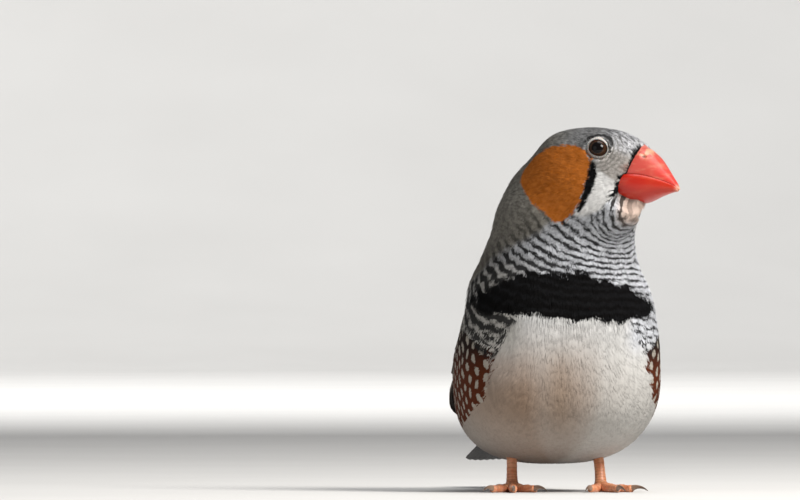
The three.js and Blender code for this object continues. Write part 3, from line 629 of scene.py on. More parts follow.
def markings(points):
    """The plumage at points of the bird's surface: a ground colour and signed distances."""
    p = Places(points)
    head = p.on_head > 0.02
    cheek = polygon_distance(p.ahead, p.above, CHEEK_PATCH)
    cheek = np.where(head & (p.aside > 2.2), cheek, AWAY)
    stripe = polygon_distance(p.ahead, p.above, STRIPE)
    stripe = np.where(head & (p.aside > 2.5), stripe, AWAY)
    sides = (p.off_front - at(p.z, NECK_WIDTH)) * NECK_DEGREE + p.wobble
    barred, faint = bar_marks(p, sides, cheek, stripe)
    colour, grain = head_colour(p, body_colour(p, sides), stripe)
    # Bars are thick on the breast's right side and thin up the neck
    thick = smoothstep(43, 36, p.z) * at(p.around, [(-40, 1), (20, 0), (45, -0.6)])
    thick = thick - 0.25 * smoothstep(36, 41, p.z)
    # The flank's spots stand in slanting rows, on a grid of places across and down
    spot_across = p.off_body * FLANK_DEGREE + 0.16 * (26 - p.z)
    spot_across = spot_across + 0.34 * np.sin(0.95 * p.z + 0.5 * p.y)
    spot_down = p.z + 0.36 * np.sin(1.15 * p.x + 0.8 * p.y) + 0.5 * p.wobble
    eye_far, eye_ahead, eye_above = eye_place(p)
    return {
        "ground": colour, "cheek": cheek, "black": black_marks(p), "phase": p.phase,
        "barred": barred, "flank": flank_mark(p), "spot_across": spot_across,
        "spot_down": spot_down, "bold": smoothstep(1.2, 5.5, p.from_chin), "head_place": p.head,
        "grain": grain, "thick": thick, "faint": faint, "eye_far": eye_far,
        "eye_ahead": eye_ahead, "eye_above": eye_above,
    }


def eye_place(p):
    """Distance from the nearer eye's axis, how far ahead of the eye and how far above it."""
    on_left = p.head[:, 1:2] > 0
    centres = np.where(on_left, eye_centre(1), eye_centre(-1))
    axes = np.where(on_left, eye_axis(1), eye_axis(-1))
    offset = p.points - centres
    out = (offset * axes).sum(1)
    far = np.linalg.norm(offset - out[:, None] * axes, axis=1)
    return np.where(out > 0, far, 99), p.ahead - EYE_SEAT[0], p.above - EYE_SEAT[2]


def fleck(points):
    """How much one feather differs in shade from the next, and how dark its middle is."""
    ahead, _, above = in_head(points).T
    head = smoothstep(44, 48, points[:, 2])
    crown = head * smoothstep(-5, -2, above)
    front = crown * smoothstep(-6, 2, ahead)
    neck = smoothstep(34, 38, points[:, 2])
    lore = lore_share(ahead, above)
    amount = 0.03 + 0.09 * neck + 0.12 * (crown + front) * (1 - 0.6 * lore)
    middle = 0.25 * (crown + front) * (1 - 0.75 * lore)
    on_cheek = head * smoothstep(0.2, -0.2, polygon_distance(ahead, above, CHEEK_PATCH)) > 0.5
    return np.where(on_cheek, 0.13, amount), np.where(on_cheek, 0, middle)


# Meshes, materials and pieces


def enclosed(points, groups):
    """Volume inside closed faces; below 0 when they face inwards."""
    middle = points.mean(0)
    total = 0.0
    for group in groups:
        for i in range(1, group.shape[1] - 1):
            a, b, c = (points[group[:, k]] - middle for k in (0, i, i + 1))
            total += (a * np.cross(b, c)).sum() / 6
    return total


def new_mesh(name, points, faces, closed=True):
    """A smooth mesh of groups of faces; a closed one is turned to face outwards."""
    groups = [np.asarray(group, np.int32) for group in faces if len(group)]
    if closed and enclosed(points, groups) < 0:
        groups = [group[:, ::-1] for group in groups]
    corners = np.concatenate([group.ravel() for group in groups])
    sizes = np.concatenate([np.full(len(group), group.shape[1], np.int32) for group in groups])
    mesh = bpy.data.meshes.new(name)
    mesh.vertices.add(len(points))
    mesh.vertices.foreach_set("co", to_row(points).astype(np.float32).ravel())
    mesh.loops.add(len(corners))
    mesh.loops.foreach_set("vertex_index", corners)
    mesh.polygons.add(len(sizes))
    starts = np.concatenate([[0], np.cumsum(sizes)[:-1]]).astype(np.int32)
    mesh.polygons.foreach_set("loop_start", starts)
    mesh.polygons.foreach_set("use_smooth", np.ones(len(sizes), bool))
    mesh.update(calc_edges=True)
    return mesh


def add_values(mesh, values):
    """Numbers or colours for the mesh's points, which the materials read by name."""
    for name, value in values.items():
        value = np.asarray(value, np.float32)
        if value.ndim == 2:
            layer = mesh.attributes.new(name, "FLOAT_COLOR", "POINT")
            colour = np.concatenate([value, np.ones((len(value), 1), np.float32)], 1)
            layer.data.foreach_set("color", colour.ravel())
        else:
            layer = mesh.attributes.new(name, "FLOAT", "POINT")
            layer.data.foreach_set("value", value)


def add_map(mesh, places):
    """A UV map from one place for each vertex."""
    corners = np.zeros(len(mesh.loops), np.int32)
    mesh.loops.foreach_get("vertex_index", corners)
    layer = mesh.uv_layers.new(name="OFBake")
    layer.data.foreach_set("uv", places[corners].astype(np.float32).ravel())


def soften(mesh, ways, share):
    """Turns the shading towards the body's own way out, so that the coat looks soft."""
    own = np.zeros(len(mesh.vertices) * 3, np.float32)
    mesh.vertex_normals.foreach_get("vector", own)
    own = own.reshape(-1, 3)
    own = np.where((own * ways).sum(1, keepdims=True) < 0, ways, own)
    mesh.normals_split_custom_set_from_vertices(unit(lerp(own, ways, share)).tolist())


def piece(name, mesh, material, nodes=()):
    """An object of the part, which takes the place of the named solids."""
    item = bpy.data.objects.new(name, mesh)
    bpy.context.scene.collection.objects.link(item)
    mesh.materials.append(material)
    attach(item, "root")
    if nodes:
        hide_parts(*nodes)
    return item


class Nodes:
    """Short ways to write a material's nodes."""

    def __init__(self, name, roughness, **settings):
        self.material = bpy.data.materials.new(name)
        self.material.use_nodes = True
        self.tree = self.material.node_tree
        self.surface = self.tree.nodes["Principled BSDF"]
        self.surface.inputs["Roughness"].default_value = roughness
        for key, value in settings.items():
            socket = key.replace("_", " ").title().replace("Ior", "IOR")
            self.surface.inputs[socket].default_value = value

    def link(self, source, target):
        """Joins a socket to another one, or sets a number or colour on it."""
        if isinstance(source, bpy.types.NodeSocket):
            self.tree.links.new(source, target)
        elif isinstance(source, tuple):
            target.default_value = (*source, 1)
        else:
            target.default_value = source

    def value(self, name, colour=False):
        node = self.tree.nodes.new("ShaderNodeAttribute")
        node.attribute_name = name
        return node.outputs["Color" if colour else "Fac"]

    def maths(self, operation, *sources):
        node = self.tree.nodes.new("ShaderNodeMath")
        node.operation = operation
        for source, target in zip(sources, node.inputs):
            self.link(source, target)
        return node.outputs[0]

    def times(self, first, second):
        return self.maths("MULTIPLY", first, second)

    def minus(self, first, second):
        return self.maths("SUBTRACT", first, second)

    def step(self, source, low, high, start=0.0, end=1.0):
        """Runs from start to end while the source goes from low to high."""
        node = self.tree.nodes.new("ShaderNodeMapRange")
        node.interpolation_type = "SMOOTHSTEP"
        ends = {"From Min": low, "From Max": high, "To Min": start, "To Max": end}
        for key, value in ends.items():
            node.inputs[key].default_value = value
        self.link(source, node.inputs["Value"])
        return node.outputs[0]

    def inside(self, name, soft):
        """1 inside a marking, with an edge that is soft by this much on both sides."""
        return self.step(self.value(name), soft, -soft)

    def mixed(self, low, high, share, blend="MIX"):
        node = self.tree.nodes.new("ShaderNodeMix")
        node.data_type = "RGBA"
        node.blend_type = blend
        self.link(share, node.inputs[0])
        self.link(low, node.inputs[6])
        self.link(high, node.inputs[7])
        return node.outputs[2]

    def grey(self, light):
        return self.mixed((0.0, 0.0, 0.0), (1.0, 1.0, 1.0), light)

    def dimmed(self, colour, light):
        """The colour, darker where light is below 1."""
        return self.mixed(colour, self.grey(light), 1.0, "MULTIPLY")

    def noise(self, scale, detail=3.0, stretch=None, place=None):
        place = place or self.tree.nodes.new("ShaderNodeTexCoord").outputs["Object"]
        if stretch:
            mapping = self.tree.nodes.new("ShaderNodeMapping")
            mapping.inputs["Scale"].default_value = stretch
            self.tree.links.new(place, mapping.inputs["Vector"])
            place = mapping.outputs[0]
        node = self.tree.nodes.new("ShaderNodeTexNoise")
        node.inputs["Scale"].default_value = scale
        node.inputs["Detail"].default_value = detail
        self.tree.links.new(place, node.inputs["Vector"])
        return node.outputs["Fac"]

    def bump(self, height, strength, distance):
        node = self.tree.nodes.new("ShaderNodeBump")
        node.inputs["Strength"].default_value = strength
        node.inputs["Distance"].default_value = distance
        self.tree.links.new(height, node.inputs["Height"])
        self.tree.links.new(node.outputs[0], self.surface.inputs["Normal"])

    def paint(self, colour):
        self.link(colour, self.surface.inputs["Base Color"])
        return self.material


BLACK = (0.004, 0.0038, 0.0038)
BAND_GREY = (0.007, 0.007, 0.0075)
ORANGE = (0.47, 0.143, 0.024)
ORANGE_DEEP = (0.39, 0.108, 0.013)
# The flank's chestnut and its white spots are partly their own colours and partly painted shade
SHADED_CHESTNUT = (0.080, 0.019, 0.007)
CHESTNUT_SHADOW = (0.016, 0.009, 0.007)  # painted shadow at the top of the flank, under the wing
SHADED_SPOT_WHITE = (0.33, 0.295, 0.25)
SPOT_PITCH = (1.85, 2.25)
SPOT_HALF = (0.44, 0.74)
BAR_BLACK = (0.014, 0.0135, 0.014)
BAR_BROWN = (0.16, 0.12, 0.10)  # next to the chin
ARC_PITCH = 0.7
ARC_GREY = (0.17, 0.16, 0.145)
BROW_RADIUS = 2.55


def spots(n):
    """White ovals on a grid whose columns are staggered."""
    across = n.maths("DIVIDE", n.value("spot_across"), SPOT_PITCH[0])
    stagger = n.times(n.maths("MODULO", n.maths("FLOOR", across), 2.0), 0.5)
    down = n.maths("ADD", n.maths("DIVIDE", n.value("spot_down"), SPOT_PITCH[1]), stagger)
    squares = []
    for place, pitch, half in zip((across, down), SPOT_PITCH, SPOT_HALF):
        scaled = n.times(n.minus(n.maths("FRACT", place), 0.5), pitch / half)
        squares.append(n.times(scaled, scaled))
    return n.step(n.maths("ADD", *squares), 1.25, 0.75)


def dark_bars(n):
    """1 on the dark bars of the whole body, whether they show there or not."""
    wave = n.maths("COSINE", n.times(n.value("phase"), 2 * math.pi))
    wave = n.maths("ADD", wave, n.times(n.value("thick"), 0.75))
    uneven = n.step(n.noise(650.0, 4.0), 0.3, 0.7, -0.55, 0.55)
    return n.step(n.maths("ADD", wave, uneven), -0.15, 0.45)


def round_eye(n, colour):
    """Fine arcs in front of and under each eye, and a dark line of tiny feathers over it."""
    far, ahead, above = n.value("eye_far"), n.value("eye_ahead"), n.value("eye_above")
    arcs = n.step(n.maths("COSINE", n.times(far, 2 * math.pi / ARC_PITCH)), -0.3, 0.8)
    front = n.step(n.minus(ahead, n.times(above, 0.3)), -0.5, 1.5)
    reach = n.times(n.step(far, 5.6, 3.8), front)
    colour = n.mixed(colour, ARC_GREY, n.times(n.times(arcs, reach), 0.75))
    brow = n.step(n.maths("ABSOLUTE", n.minus(far, BROW_RADIUS)), 0.42, 0.18)
    upper = n.step(n.minus(above, n.times(ahead, 0.25)), 0.2, 1.2)
    return n.mixed(colour, BLACK, n.times(n.times(brow, upper), 0.9))


def plumage_material():
    n = Nodes("plumage", 0.9, specular_ior_level=0.06)
    silk = n.step(n.noise(1500.0, 2.0, (1.0, 1.0, 0.07)), 0.3, 0.7, 0.89, 1.08)
    colour = n.dimmed(n.value("ground", colour=True), silk)

    # The flank: chestnut with white spots, both partly painted shade, and darker towards its top as
    # a painted shadow under the wing
    chestnut = n.step(n.value("spot_down"), 19.5, 25.5)
    chestnut = n.mixed(SHADED_CHESTNUT, CHESTNUT_SHADOW, chestnut)
    colour = n.mixed(colour, n.mixed(chestnut, SHADED_SPOT_WHITE, spots(n)), n.inside("flank", 0.15))

    dark = dark_bars(n)
    bold = n.value("bold")
    bars = n.times(dark, n.maths("MAXIMUM", n.inside("barred", 0.5), n.value("faint")))
    bars = n.times(bars, n.step(bold, -0.3, 0.5, 0.0, 0.95))
    colour = n.mixed(colour, n.mixed(BAR_BROWN, BAR_BLACK, bold), bars)

    streaks = n.noise(1.0, 2.0, (0.9, 2.7, 2.7), n.value("head_place", colour=True))
    light = n.grey(n.step(streaks, 0.42, 0.58, 0.32, 1.46))
    grain = n.mixed((1.0, 1.0, 1.0), light, n.value("grain"))
    colour = round_eye(n, n.mixed(colour, grain, 1.0, "MULTIPLY"))

    orange = n.mixed(ORANGE_DEEP, ORANGE, n.step(streaks, 0.38, 0.58))
    colour = n.mixed(colour, orange, n.inside("cheek", 0.12))
    colour = n.mixed(colour, n.mixed(BAND_GREY, BLACK, dark), n.inside("black", 0.12))
    return n.paint(n.dimmed(colour, n.value("shade")))


PLUMAGE = plumage_material()


# Coat

COAT_REST = 0.10  # least depth of the skin under the tips
COAT_RISE = 0.12  # and how much more for each millimetre of a feather's length
COAT_LENGTHS = (0.7, 4.8)
SOFTNESS = 0.85  # how far the coat's shading turns to the body's own
PATCH = 0.003  # side of a tuft's place in the UV map
STRANDS = 9
FAN = np.linspace(-1, 1, STRANDS)
BILL_BASE = np.array([5.5, 0, -1.5])  # its middle in the head frame
BILL_BASE_RADIUS = 3.5
EYE_EDGE = 2.0  # from an eyeball's centre to the feathers round it
FEATHERS_FROM = head_point(11, 0, -2.5)  # the head's feathers point away from here


def coat_length(points):
    """How long the feathers are: tiny round the bill and the eyes, long on the body."""
    from_bill = np.linalg.norm(in_head(points) - BILL_BASE, axis=1) - BILL_BASE_RADIUS
    eyes = [np.linalg.norm(points - eye_centre(side), axis=1) for side in SIDES.values()]
    from_eye = np.maximum(np.minimum(*eyes) - EYE_EDGE, 0)
    on_face = np.minimum(0.75 + 0.125 * from_bill, 0.65 + 0.42 * from_eye)
    on_body = lerp(4.8, 3.2, smoothstep(18, 38, points[:, 2]))
    return np.clip(lerp(on_face, on_body, smoothstep(49, 36, points[:, 2])), *COAT_LENGTHS)


def coat_depth(points):
    return COAT_REST + COAT_RISE * coat_length(points)


def belly_share(heights):
    """1 on the belly, whose feathers are broad, flat and well combed."""
    return smoothstep(31, 27, heights)


def from_eye_axis(points, side):
    """Each point's offset from the line that an eye looks along, and how far along it is."""
    offset = points - eye_centre(side)
    out = offset @ eye_axis(side)
    return offset - out[:, None] * eye_axis(side), out


def lie(points, normals):
    """Which way the feathers point: back from the bill, down the neck and on to the tail."""
    head = in_head(points)
    away = unit(points - FEATHERS_FROM)
    down = np.array([0, 0.1, -1.0])
    back = np.array([0, 1, -0.5])
    droop = np.maximum(smoothstep(-3, -14, head[:, 2]), smoothstep(-5, -14, head[:, 0]))
    way = lerp(away + droop[:, None] * down, down, smoothstep(48, 42, points[:, 2])[:, None])
    way = lerp(way, back, smoothstep(36, 22, points[:, 2])[:, None])
    # They part round the eyes
    for side in SIDES.values():
        spread, _ = from_eye_axis(points, side)
        distance = np.linalg.norm(spread, axis=1)
        spread = unit(spread)
        inward = np.minimum((way * spread).sum(1), 0)
        close = np.linalg.norm(points - eye_centre(side), axis=1) < 5
        near = smoothstep(5.0, 2.6, distance) * close
        way = way - spread * (1.25 * inward * near)[:, None]
    way = way - normals * (way * normals).sum(1)[:, None]
    return unit(way)


# Bill profiles in the head frame, as x and height or half width, and the feathers round the bill

RIDGE = [
    (4.2, 3.6), (5.2, 3.27), (6.3, 3.07), (8.2, 2.34), (9.94, 1.3), (11.72, 0.15), (13.22, -0.8),
    (14.35, -1.75),
]
MOUTH = [
    (4.2, -3.0), (5.4, -2.75), (6.6, -2.3), (8.4, -1.75), (10.3, -1.5), (12, -1.42),
    (13.35, -1.5), (14.35, -1.8),
]
JAW = [
    (4.2, -6.5), (5.3, -6.4), (7.5, -5.9), (8.7, -5.3), (10.5, -4.05), (12, -3.15), (13.2, -2.5),
    (14.05, -2.2),
]
HALF_WIDTH = [
    (4.2, 4.1), (5.3, 4.05), (6.5, 3.85), (8.2, 3.15), (10, 2.3), (11.8, 1.45), (13.3, 0.75),
    (14.35, 0.2),
]


def profile_at(profile, x):
    """Height of a smooth profile line at distances ahead of the eye line."""
    line = along_points([(px, pz, 0) for px, pz in profile], np.linspace(0, 1, 200))
    return np.interp(x, line[:, 0], line[:, 1])


FACE_EDGE = [  # by height, how far ahead the feathers reach on the bill's sides
    (-5.3, 5.3), (-3.3, 5.65), (-1.9, 5.9), (-0.8, 5.9), (0.7, 5.75), (2.3, 5.4), (3.3, 5.05),
]
JAW_LINE = -5.3  # height under which they reach farther, along the lower half of the bill
CHIN_LINE = -8.5  # and under which there is no bill


def past_feathers(points):
    """How far ahead of the feathers' edge round the bill each point lies."""
    ahead, aside, above = in_head(points).T
    under = lerp(8.3, 5.2, smoothstep(0, 3.7, np.abs(aside)))
    edge = np.where(above > JAW_LINE, at(above, FACE_EDGE), under)
    return np.where(above > CHIN_LINE, ahead - edge, -AWAY)


def scattered(points, quads, spacing_of, tries):
    """Places spread over the surface at their own spacing, with the quad that each lies in."""
    corners = [points[quads[:, i]] for i in range(4)]
    diagonals = corners[2] - corners[0], corners[3] - corners[1]
    area = np.linalg.norm(np.cross(*diagonals), axis=1) / 2
    wanted = area / spacing_of(sum(corners) / 4) ** 2
    chosen = rng.choice(len(quads), tries, p=wanted / wanted.sum())
    shares = np.stack([rng.random(tries), rng.random(tries)], 1)
    places = over_quads([corner[chosen] for corner in corners], shares)
    spacing = spacing_of(places)
    tree = tree_of(places)
    dropped = np.zeros(tries, bool)
    kept = []
    for i in range(tries):
        if dropped[i]:
            continue
        kept.append(i)
        for _, j, _ in tree.find_range(places[i], spacing[i]):
            dropped[j] = True
    return places[kept], chosen[kept], shares[kept]


def over_quads(corners, shares):
    """A point in each quad, at its two shares from the first corner."""
    a, b, c, d = corners
    u, v = shares[:, :1], shares[:, 1:]
    return (a * (1 - u) + b * u) * (1 - v) + (d * (1 - u) + c * u) * v


class Tufts:
    """The coat's tufts: an array for each measure, with a row for each tuft."""

    def __init__(self, **measures):
        for name, values in measures.items():
            setattr(self, name, values)

    def only(self, chosen):
        return Tufts(**{name: values[chosen] for name, values in vars(self).items()})


ROOT_TRIES = 150000
# Shares along and across a wing's sheet and heights over it, between which it hides the coat
WING_COVERS = [(0.05, 0.97), (0.06, 0.9), (-3, 3.5)]
BARE_RADIUS = 2.15  # round an eye's axis


def bare(roots):
    """Where no feathers grow: under the wings, round the eyes and on the bill."""
    along, across, height, aside = wing_place(roots)
    hidden = aside == 0
    for value, (low, high) in zip((along, across, height), WING_COVERS):
        hidden &= (value > low) & (value < high)
    for side in SIDES.values():
        spread, _ = from_eye_axis(roots, side)
        close = np.linalg.norm(roots - eye_centre(side), axis=1) < 4
        hidden |= (np.linalg.norm(spread, axis=1) < BARE_RADIUS) & close
    return hidden | (past_feathers(roots) > 0)


def tuft_spacing(points):
    """How far apart the tufts stand: close where they are small."""
    share = 0.15 + 0.01 * smoothstep(36, 20, points[:, 2])
    return share * coat_length(points) + 0.04


def coat_tufts(outer, quads, skin_map):
    """Places, sizes and shades of all the tufts."""
    roots, quad, shares = scattered(outer, quads, tuft_spacing, ROOT_TRIES)
    kept = ~bare(roots)
    roots, quad, shares = roots[kept], quad[kept], shares[kept]
    heights = roots[:, 2]
    normals = field(roots)[1]
    lengths = coat_length(roots) * (1 + rng.normal(0, 0.06, len(roots)))
    ways = lie(roots, normals)
    turn = rng.normal(0, 1, len(roots)) * lerp(0.10, 0.03, belly_share(heights))
    flecks, middles = fleck(roots)
    return Tufts(
        roots=roots,
        normals=normals,
        ways=unit(ways + np.cross(normals, ways) * turn[:, None]),
        lengths=lengths,
        widths=lengths * lerp(0.22, 0.27, smoothstep(46, 38, heights)),
        lift=0.02 * (1 + lengths) * (1 + rng.normal(0, 0.5, len(roots))),
        places=over_quads([skin_map[quad, i] for i in range(4)], shares),
        flecks=flecks,
        middles=middles,
        shades=1 + flecks * rng.normal(0, 1, len(roots)),
        on_face=smoothstep(2.6, 1.2, lengths),
        loose=belly_share(heights),
    )


# A strand is two rings of three corners and a tip; X and Y are their places in the UV map
STRAND_FACES = np.array([
    (0, 1, 2), (0, 3, 4), (0, 4, 1), (1, 4, 5), (1, 5, 2), (2, 5, 3), (2, 3, 0), (3, 6, 4),
    (4, 6, 5), (5, 6, 3),
])
STRAND_CORNERS = 7
STRAND_X = np.array([0.1, 0.9, 0.5, 0.1, 0.9, 0.5, 0.5]) * PATCH / STRANDS
STRAND_Y = np.array([0.0, 0.0, 0.0, 0.5, 0.5, 0.5, 1.0]) * PATCH
CORNER_SHADES = np.array([0.74, 0.74, 0.76, 0.96, 0.96, 0.98, 1.04])  # darker at the root
FAN_ROUND = 0.22  # how much shorter the outer strands of a fan are
FAN_DROOP = 0.07  # how far they hang down, as a share of the fan's width
ROUGH = 0.012  # how far the coat's top strays up and down


def strand_points(tufts):
    """Feathers as fans of fine closed strands that follow the surface, tuft by tuft."""
    shape = (len(tufts.roots), STRANDS)
    loose = tufts.loose
    normals, ways = tufts.normals[:, None], tufts.ways[:, None]
    side = np.cross(normals, ways)
    fan = FAN[None, :] + rng.normal(0, 0.07, shape)
    reach = tufts.lengths[:, None] * (1 - FAN_ROUND * FAN**2)
    reach = reach * (1 + rng.normal(0, 0.09, shape))
    sway = rng.normal(0, 1, shape) * lerp(0.045, 0.02, loose)[:, None]
    droop = (FAN_DROOP * tufts.widths * lerp(1, 0.25, loose))[:, None] * FAN**2
    half = lerp(1.3, 2.1, loose) * tufts.widths / (STRANDS - 1)
    lift = (tufts.lift * lerp(1, 0.35, loose))[:, None]
    sunk = lerp(-0.8, -0.4, loose)[:, None] * coat_depth(tufts.roots)[:, None]
    # Shares of the length, of the fan's width and of the strand's own width at each ring
    stations = ((0.0, 0.45, 1.0), (0.55, 0.9, lerp(0.62, 0.9, loose)), (1.0, 1.0, 0.0))
    corners = []
    for t, spread, thick in stations:
        along = reach * t
        across = tufts.widths[:, None] * fan * spread + sway * along
        centre = tufts.roots[:, None] + ways * along[..., None] + side * across[..., None]
        rough = rng.normal(0, ROUGH, shape) * (t * lerp(1, 0.3, loose))[:, None]
        level = lerp(sunk, lift, t**0.8) - droop + rough
        centre = on_level(centre.reshape(-1, 3), level.ravel(), 2).reshape(*shape, 3)
        offset = side * (half * thick)[:, None, None]
        rise = normals * (half * thick * lerp(0.3, 0.12, loose))[:, None, None]
        corners += [centre - offset, centre + offset, centre + rise]
    # The corners of the last ring are one point, the tip
    return np.stack(corners[:STRAND_CORNERS], 2)


def strand_places(tufts):
    """The place of every strand's points in the UV map."""
    columns = (np.arange(STRANDS) * (PATCH / STRANDS))[None, :, None]
    x = tufts.places[:, 0, None, None] + columns + STRAND_X
    y = tufts.places[:, 1, None, None] + np.zeros((1, STRANDS, 1)) + STRAND_Y
    return np.stack(np.broadcast_arrays(x, y), -1).reshape(-1, 2)


EDGE_RAGGED = {  # how far each marking's edge strays from tuft to tuft, on the body and the head
    "black": (0.22, 0.07),
    "cheek": (0, 0.10),
    "flank": (0.25, 0),
    "barred": (0.4, 0.1),
}
SHADES = (0.25, 1.5)  # the darkest and the lightest that a point can be
CHEEK_LIGHT = [(-13, 1.15), (-2, 0.88)]  # by height in the head frame


def tuft_markings(name, tufts, points):
    """The markings of the tufts' points, which stray a little from strand to strand."""
    count = len(tufts.roots)
    strands = points.shape[:2]
    each = STRANDS * STRAND_CORNERS
    own = rng.normal(0, 1, count)[:, None] * lerp(0.07, 0.16, tufts.on_face)[:, None]
    slip = (own + rng.normal(0, 0.07, strands))[..., None, None] * tufts.ways[:, None, None]
    side = np.cross(tufts.normals, tufts.ways)
    slip = slip + rng.normal(0, 0.10, count)[:, None, None, None] * side[:, None, None]
    values = markings((points + slip).reshape(-1, 3))
    height = tufts.roots[:, 2]
    stray = rng.normal(0, 1, count) * lerp(0.08, 0.30, smoothstep(31, 27.5, height))
    values["phase"] = values["phase"] + np.repeat(stray, each)
    for mark, (on_body, on_head) in EDGE_RAGGED.items():
        stray = rng.normal(0, 1, count) * lerp(on_head, on_body, smoothstep(46, 42, height))
        values[mark] = values[mark] + np.repeat(stray, each)
    shade = tufts.shades[:, None] + tufts.flecks[:, None] * rng.normal(0, 0.8, strands)
    middle = np.where(np.abs(FAN) < 0.45, -1.0, 0.6)
    shade = shade * (1 + tufts.middles[:, None] * middle)
    if name == "coat_cheeks":
        shade = shade * at(in_head(tufts.roots)[:, 2], CHEEK_LIGHT)[:, None]
    even = 0.75 * smoothstep(31, 28, height)[:, None, None]
    shade = shade[..., None] * lerp(CORNER_SHADES, 1, even)
    values["shade"] = np.clip(shade.ravel(), *SHADES)
    return values


HEAD_PIECES = ["coat_face", "coat_crown", "coat_forehead", "coat_cheeks", "coat_throat"]
COAT_PIECES = HEAD_PIECES + [
    "coat_neck", "coat_breast", "coat_belly", "coat_flank_left", "coat_flank_right", "coat_back",
    "coat_rump",
]


def coat_region(points):
    """The number of the coat piece that each point lies in; a later rule wins."""
    x, y, z = points.T
    ahead, _, above = in_head(points).T
    head = (z > 46) & (above > -15)
    rules = {
        "coat_belly": z > 0,
        "coat_breast": (z > 28) & (y < 2),
        "coat_neck": z > 38,
        "coat_flank_left": (z < 28) & (x > 9),
        "coat_flank_right": (z < 28) & (x < -9),
        "coat_back": (y > 2) & (z > 22) & (z <= 38),
        "coat_rump": (y > 14) & (z <= 22),
        "coat_cheeks": head,
        "coat_face": head & (ahead > -2),
        "coat_crown": head & (above > -1.5),
        "coat_forehead": head & (above > -1.5) & (ahead > -1.5),
        "coat_throat": head & (above < -8) & (ahead > 0),
    }
    region = np.zeros(len(points), int)
    for name, inside in rules.items():
        region[inside] = COAT_PIECES.index(name)
    return region


def build_coat(outer, quads, skin_map):
    everywhere = coat_tufts(outer, quads, skin_map)
    region = coat_region(everywhere.roots)
    for number, name in enumerate(COAT_PIECES):
        tufts = everywhere.only(region == number)
        points = strand_points(tufts)
        starts = np.arange(len(tufts.roots) * STRANDS) * STRAND_CORNERS
        triangles = (starts[:, None, None] + STRAND_FACES).reshape(-1, 3)
        values = tuft_markings(name, tufts, points)
        points = points.reshape(-1, 3)
        mesh = new_mesh(name, points, [triangles])
        soften(mesh, field(points)[1], SOFTNESS)
        add_values(mesh, values)
        add_map(mesh, strand_places(tufts))
        piece(name, mesh, PLUMAGE)


SKIN_SHADE = 0.8
WING_FLOOR = -0.7  # the skin lies this far under the wing's sheet
EYE_FLOOR = 0.6  # and no farther than this ahead of an eyeball's centre


def build_skin(outer, quads):
    """The skin under the whole coat; gives the places of its quads' corners in its UV map."""
    skin = on_level(outer, -coat_depth(outer), 3)
    _, way = field(skin)
    _, _, height, aside = wing_place(skin)
    drop = np.maximum(height - WING_FLOOR, 0) * smoothstep(1.6, 0.2, aside) * (height < 4)
    skin = skin - way * drop[:, None]
    for side in SIDES.values():
        spread, out = from_eye_axis(skin, side)
        near = smoothstep(2.5, 2.0, np.linalg.norm(spread, axis=1)) * (out > 0) * (out < 4)
        skin = skin - eye_axis(side) * (np.maximum(out - EYE_FLOOR, 0) * near)[:, None]
    # Ahead of the feathers' edge it lies inside the bill
    skin = skin - way * (1.1 * smoothstep(0, 0.6, past_feathers(skin)))[:, None]
    mesh = new_mesh("skin", skin, [quads])
    values = markings(outer)
    values["shade"] = np.full(len(outer), SKIN_SHADE)
    add_values(mesh, values)
    item = piece("skin", mesh, PLUMAGE, ["torso", "neck", "head"])
    return unwrapped(item).reshape(-1, 4, 2)


def unwrapped(item):
    """Unwraps an object along its own shape, and gives each corner's place."""
    mesh = item.data
    bpy.context.view_layer.objects.active = item
    item.select_set(True)
    mesh.uv_layers.new(name="OFBake")
    bpy.ops.object.mode_set(mode="EDIT")
    bpy.ops.mesh.select_all(action="SELECT")
    bpy.ops.uv.smart_project(angle_limit=math.radians(66), island_margin=0.002)
    bpy.ops.object.mode_set(mode="OBJECT")
    item.select_set(False)
    corners = np.zeros(len(mesh.loops) * 2, np.float32)
    mesh.uv_layers["OFBake"].data.foreach_get("uv", corners)
    return corners


# Flight and tail feathers

VANE_STATIONS = 26
VANE_COLUMNS = np.array([-1, -0.8, -0.5, -0.2, -0.06, 0.06, 0.25, 0.6, 0.85, 1])  # across it
RING_COLUMNS = np.concatenate([VANE_COLUMNS, VANE_COLUMNS[::-1]])
VANE_THICK = 0.10
VANE_VALUES = ["vane_along", "vane_across", "vane_row", "shade"]


def feather(point_at, t, along, across, low, ridge, row):
    """One thin closed feather as rings, with four numbers for each of their points."""
    along, low, _ = np.broadcast_arrays(along[:, None], low, across)
    top = point_at(along, across, low + VANE_THICK + ridge)
    bottom = point_at(along, across, low)
    rings = np.concatenate([top, bottom[:, ::-1]], 1)
    values = t[:, None], RING_COLUMNS, row, rng.normal(1, 0.06)
    return rings, [np.broadcast_to(value, rings.shape[:2]).ravel() for value in values]


def build_feathers(name, feathers, material, node):
    rings, values = zip(*feathers)
    values = dict(zip(VANE_VALUES, np.concatenate(values, 1)))
    add_tubes(name, rings, material, [node], values)


def rounded_tip(t, start):
    """The share of a feather's width that is left, where it narrows to its round tip."""
    past = np.clip((t - start) / (1 - start), 0, 1)
    return np.sqrt(np.clip(1 - past**2, 0, 1))


def ring_faces(stations, around):
    i = np.arange(stations - 1)[:, None] * around
    j = np.arange(around)[None, :]
    k = (j + 1) % around
    return np.stack([i + j, i + k, i + around + k, i + around + j], -1).reshape(-1, 4)


def cap_faces(first, around):
    """Closes a ring of points by strips across it."""
    left = first + np.arange(around // 2)
    right = first + around - 1 - np.arange(around // 2)
    return np.stack([left[:-1], right[:-1], right[1:], left[1:]], 1)


def closed_tube(stations, around, start=0):
    """Faces of a row of rings with both of its ends closed."""
    last = start + (stations - 1) * around
    ends = [cap_faces(start, around), cap_faces(last, around)[:, ::-1]]
    return np.concatenate([ring_faces(stations, around) + start, *ends])


def join_grids(grids):
    """Points and faces of several rows of rings as one mesh."""
    points, quads, start = [], [], 0
    for rings in grids:
        stations, around, _ = rings.shape
        points.append(rings.reshape(-1, 3))
        quads.append(closed_tube(stations, around, start))
        start += stations * around
    return np.concatenate(points), np.concatenate(quads)


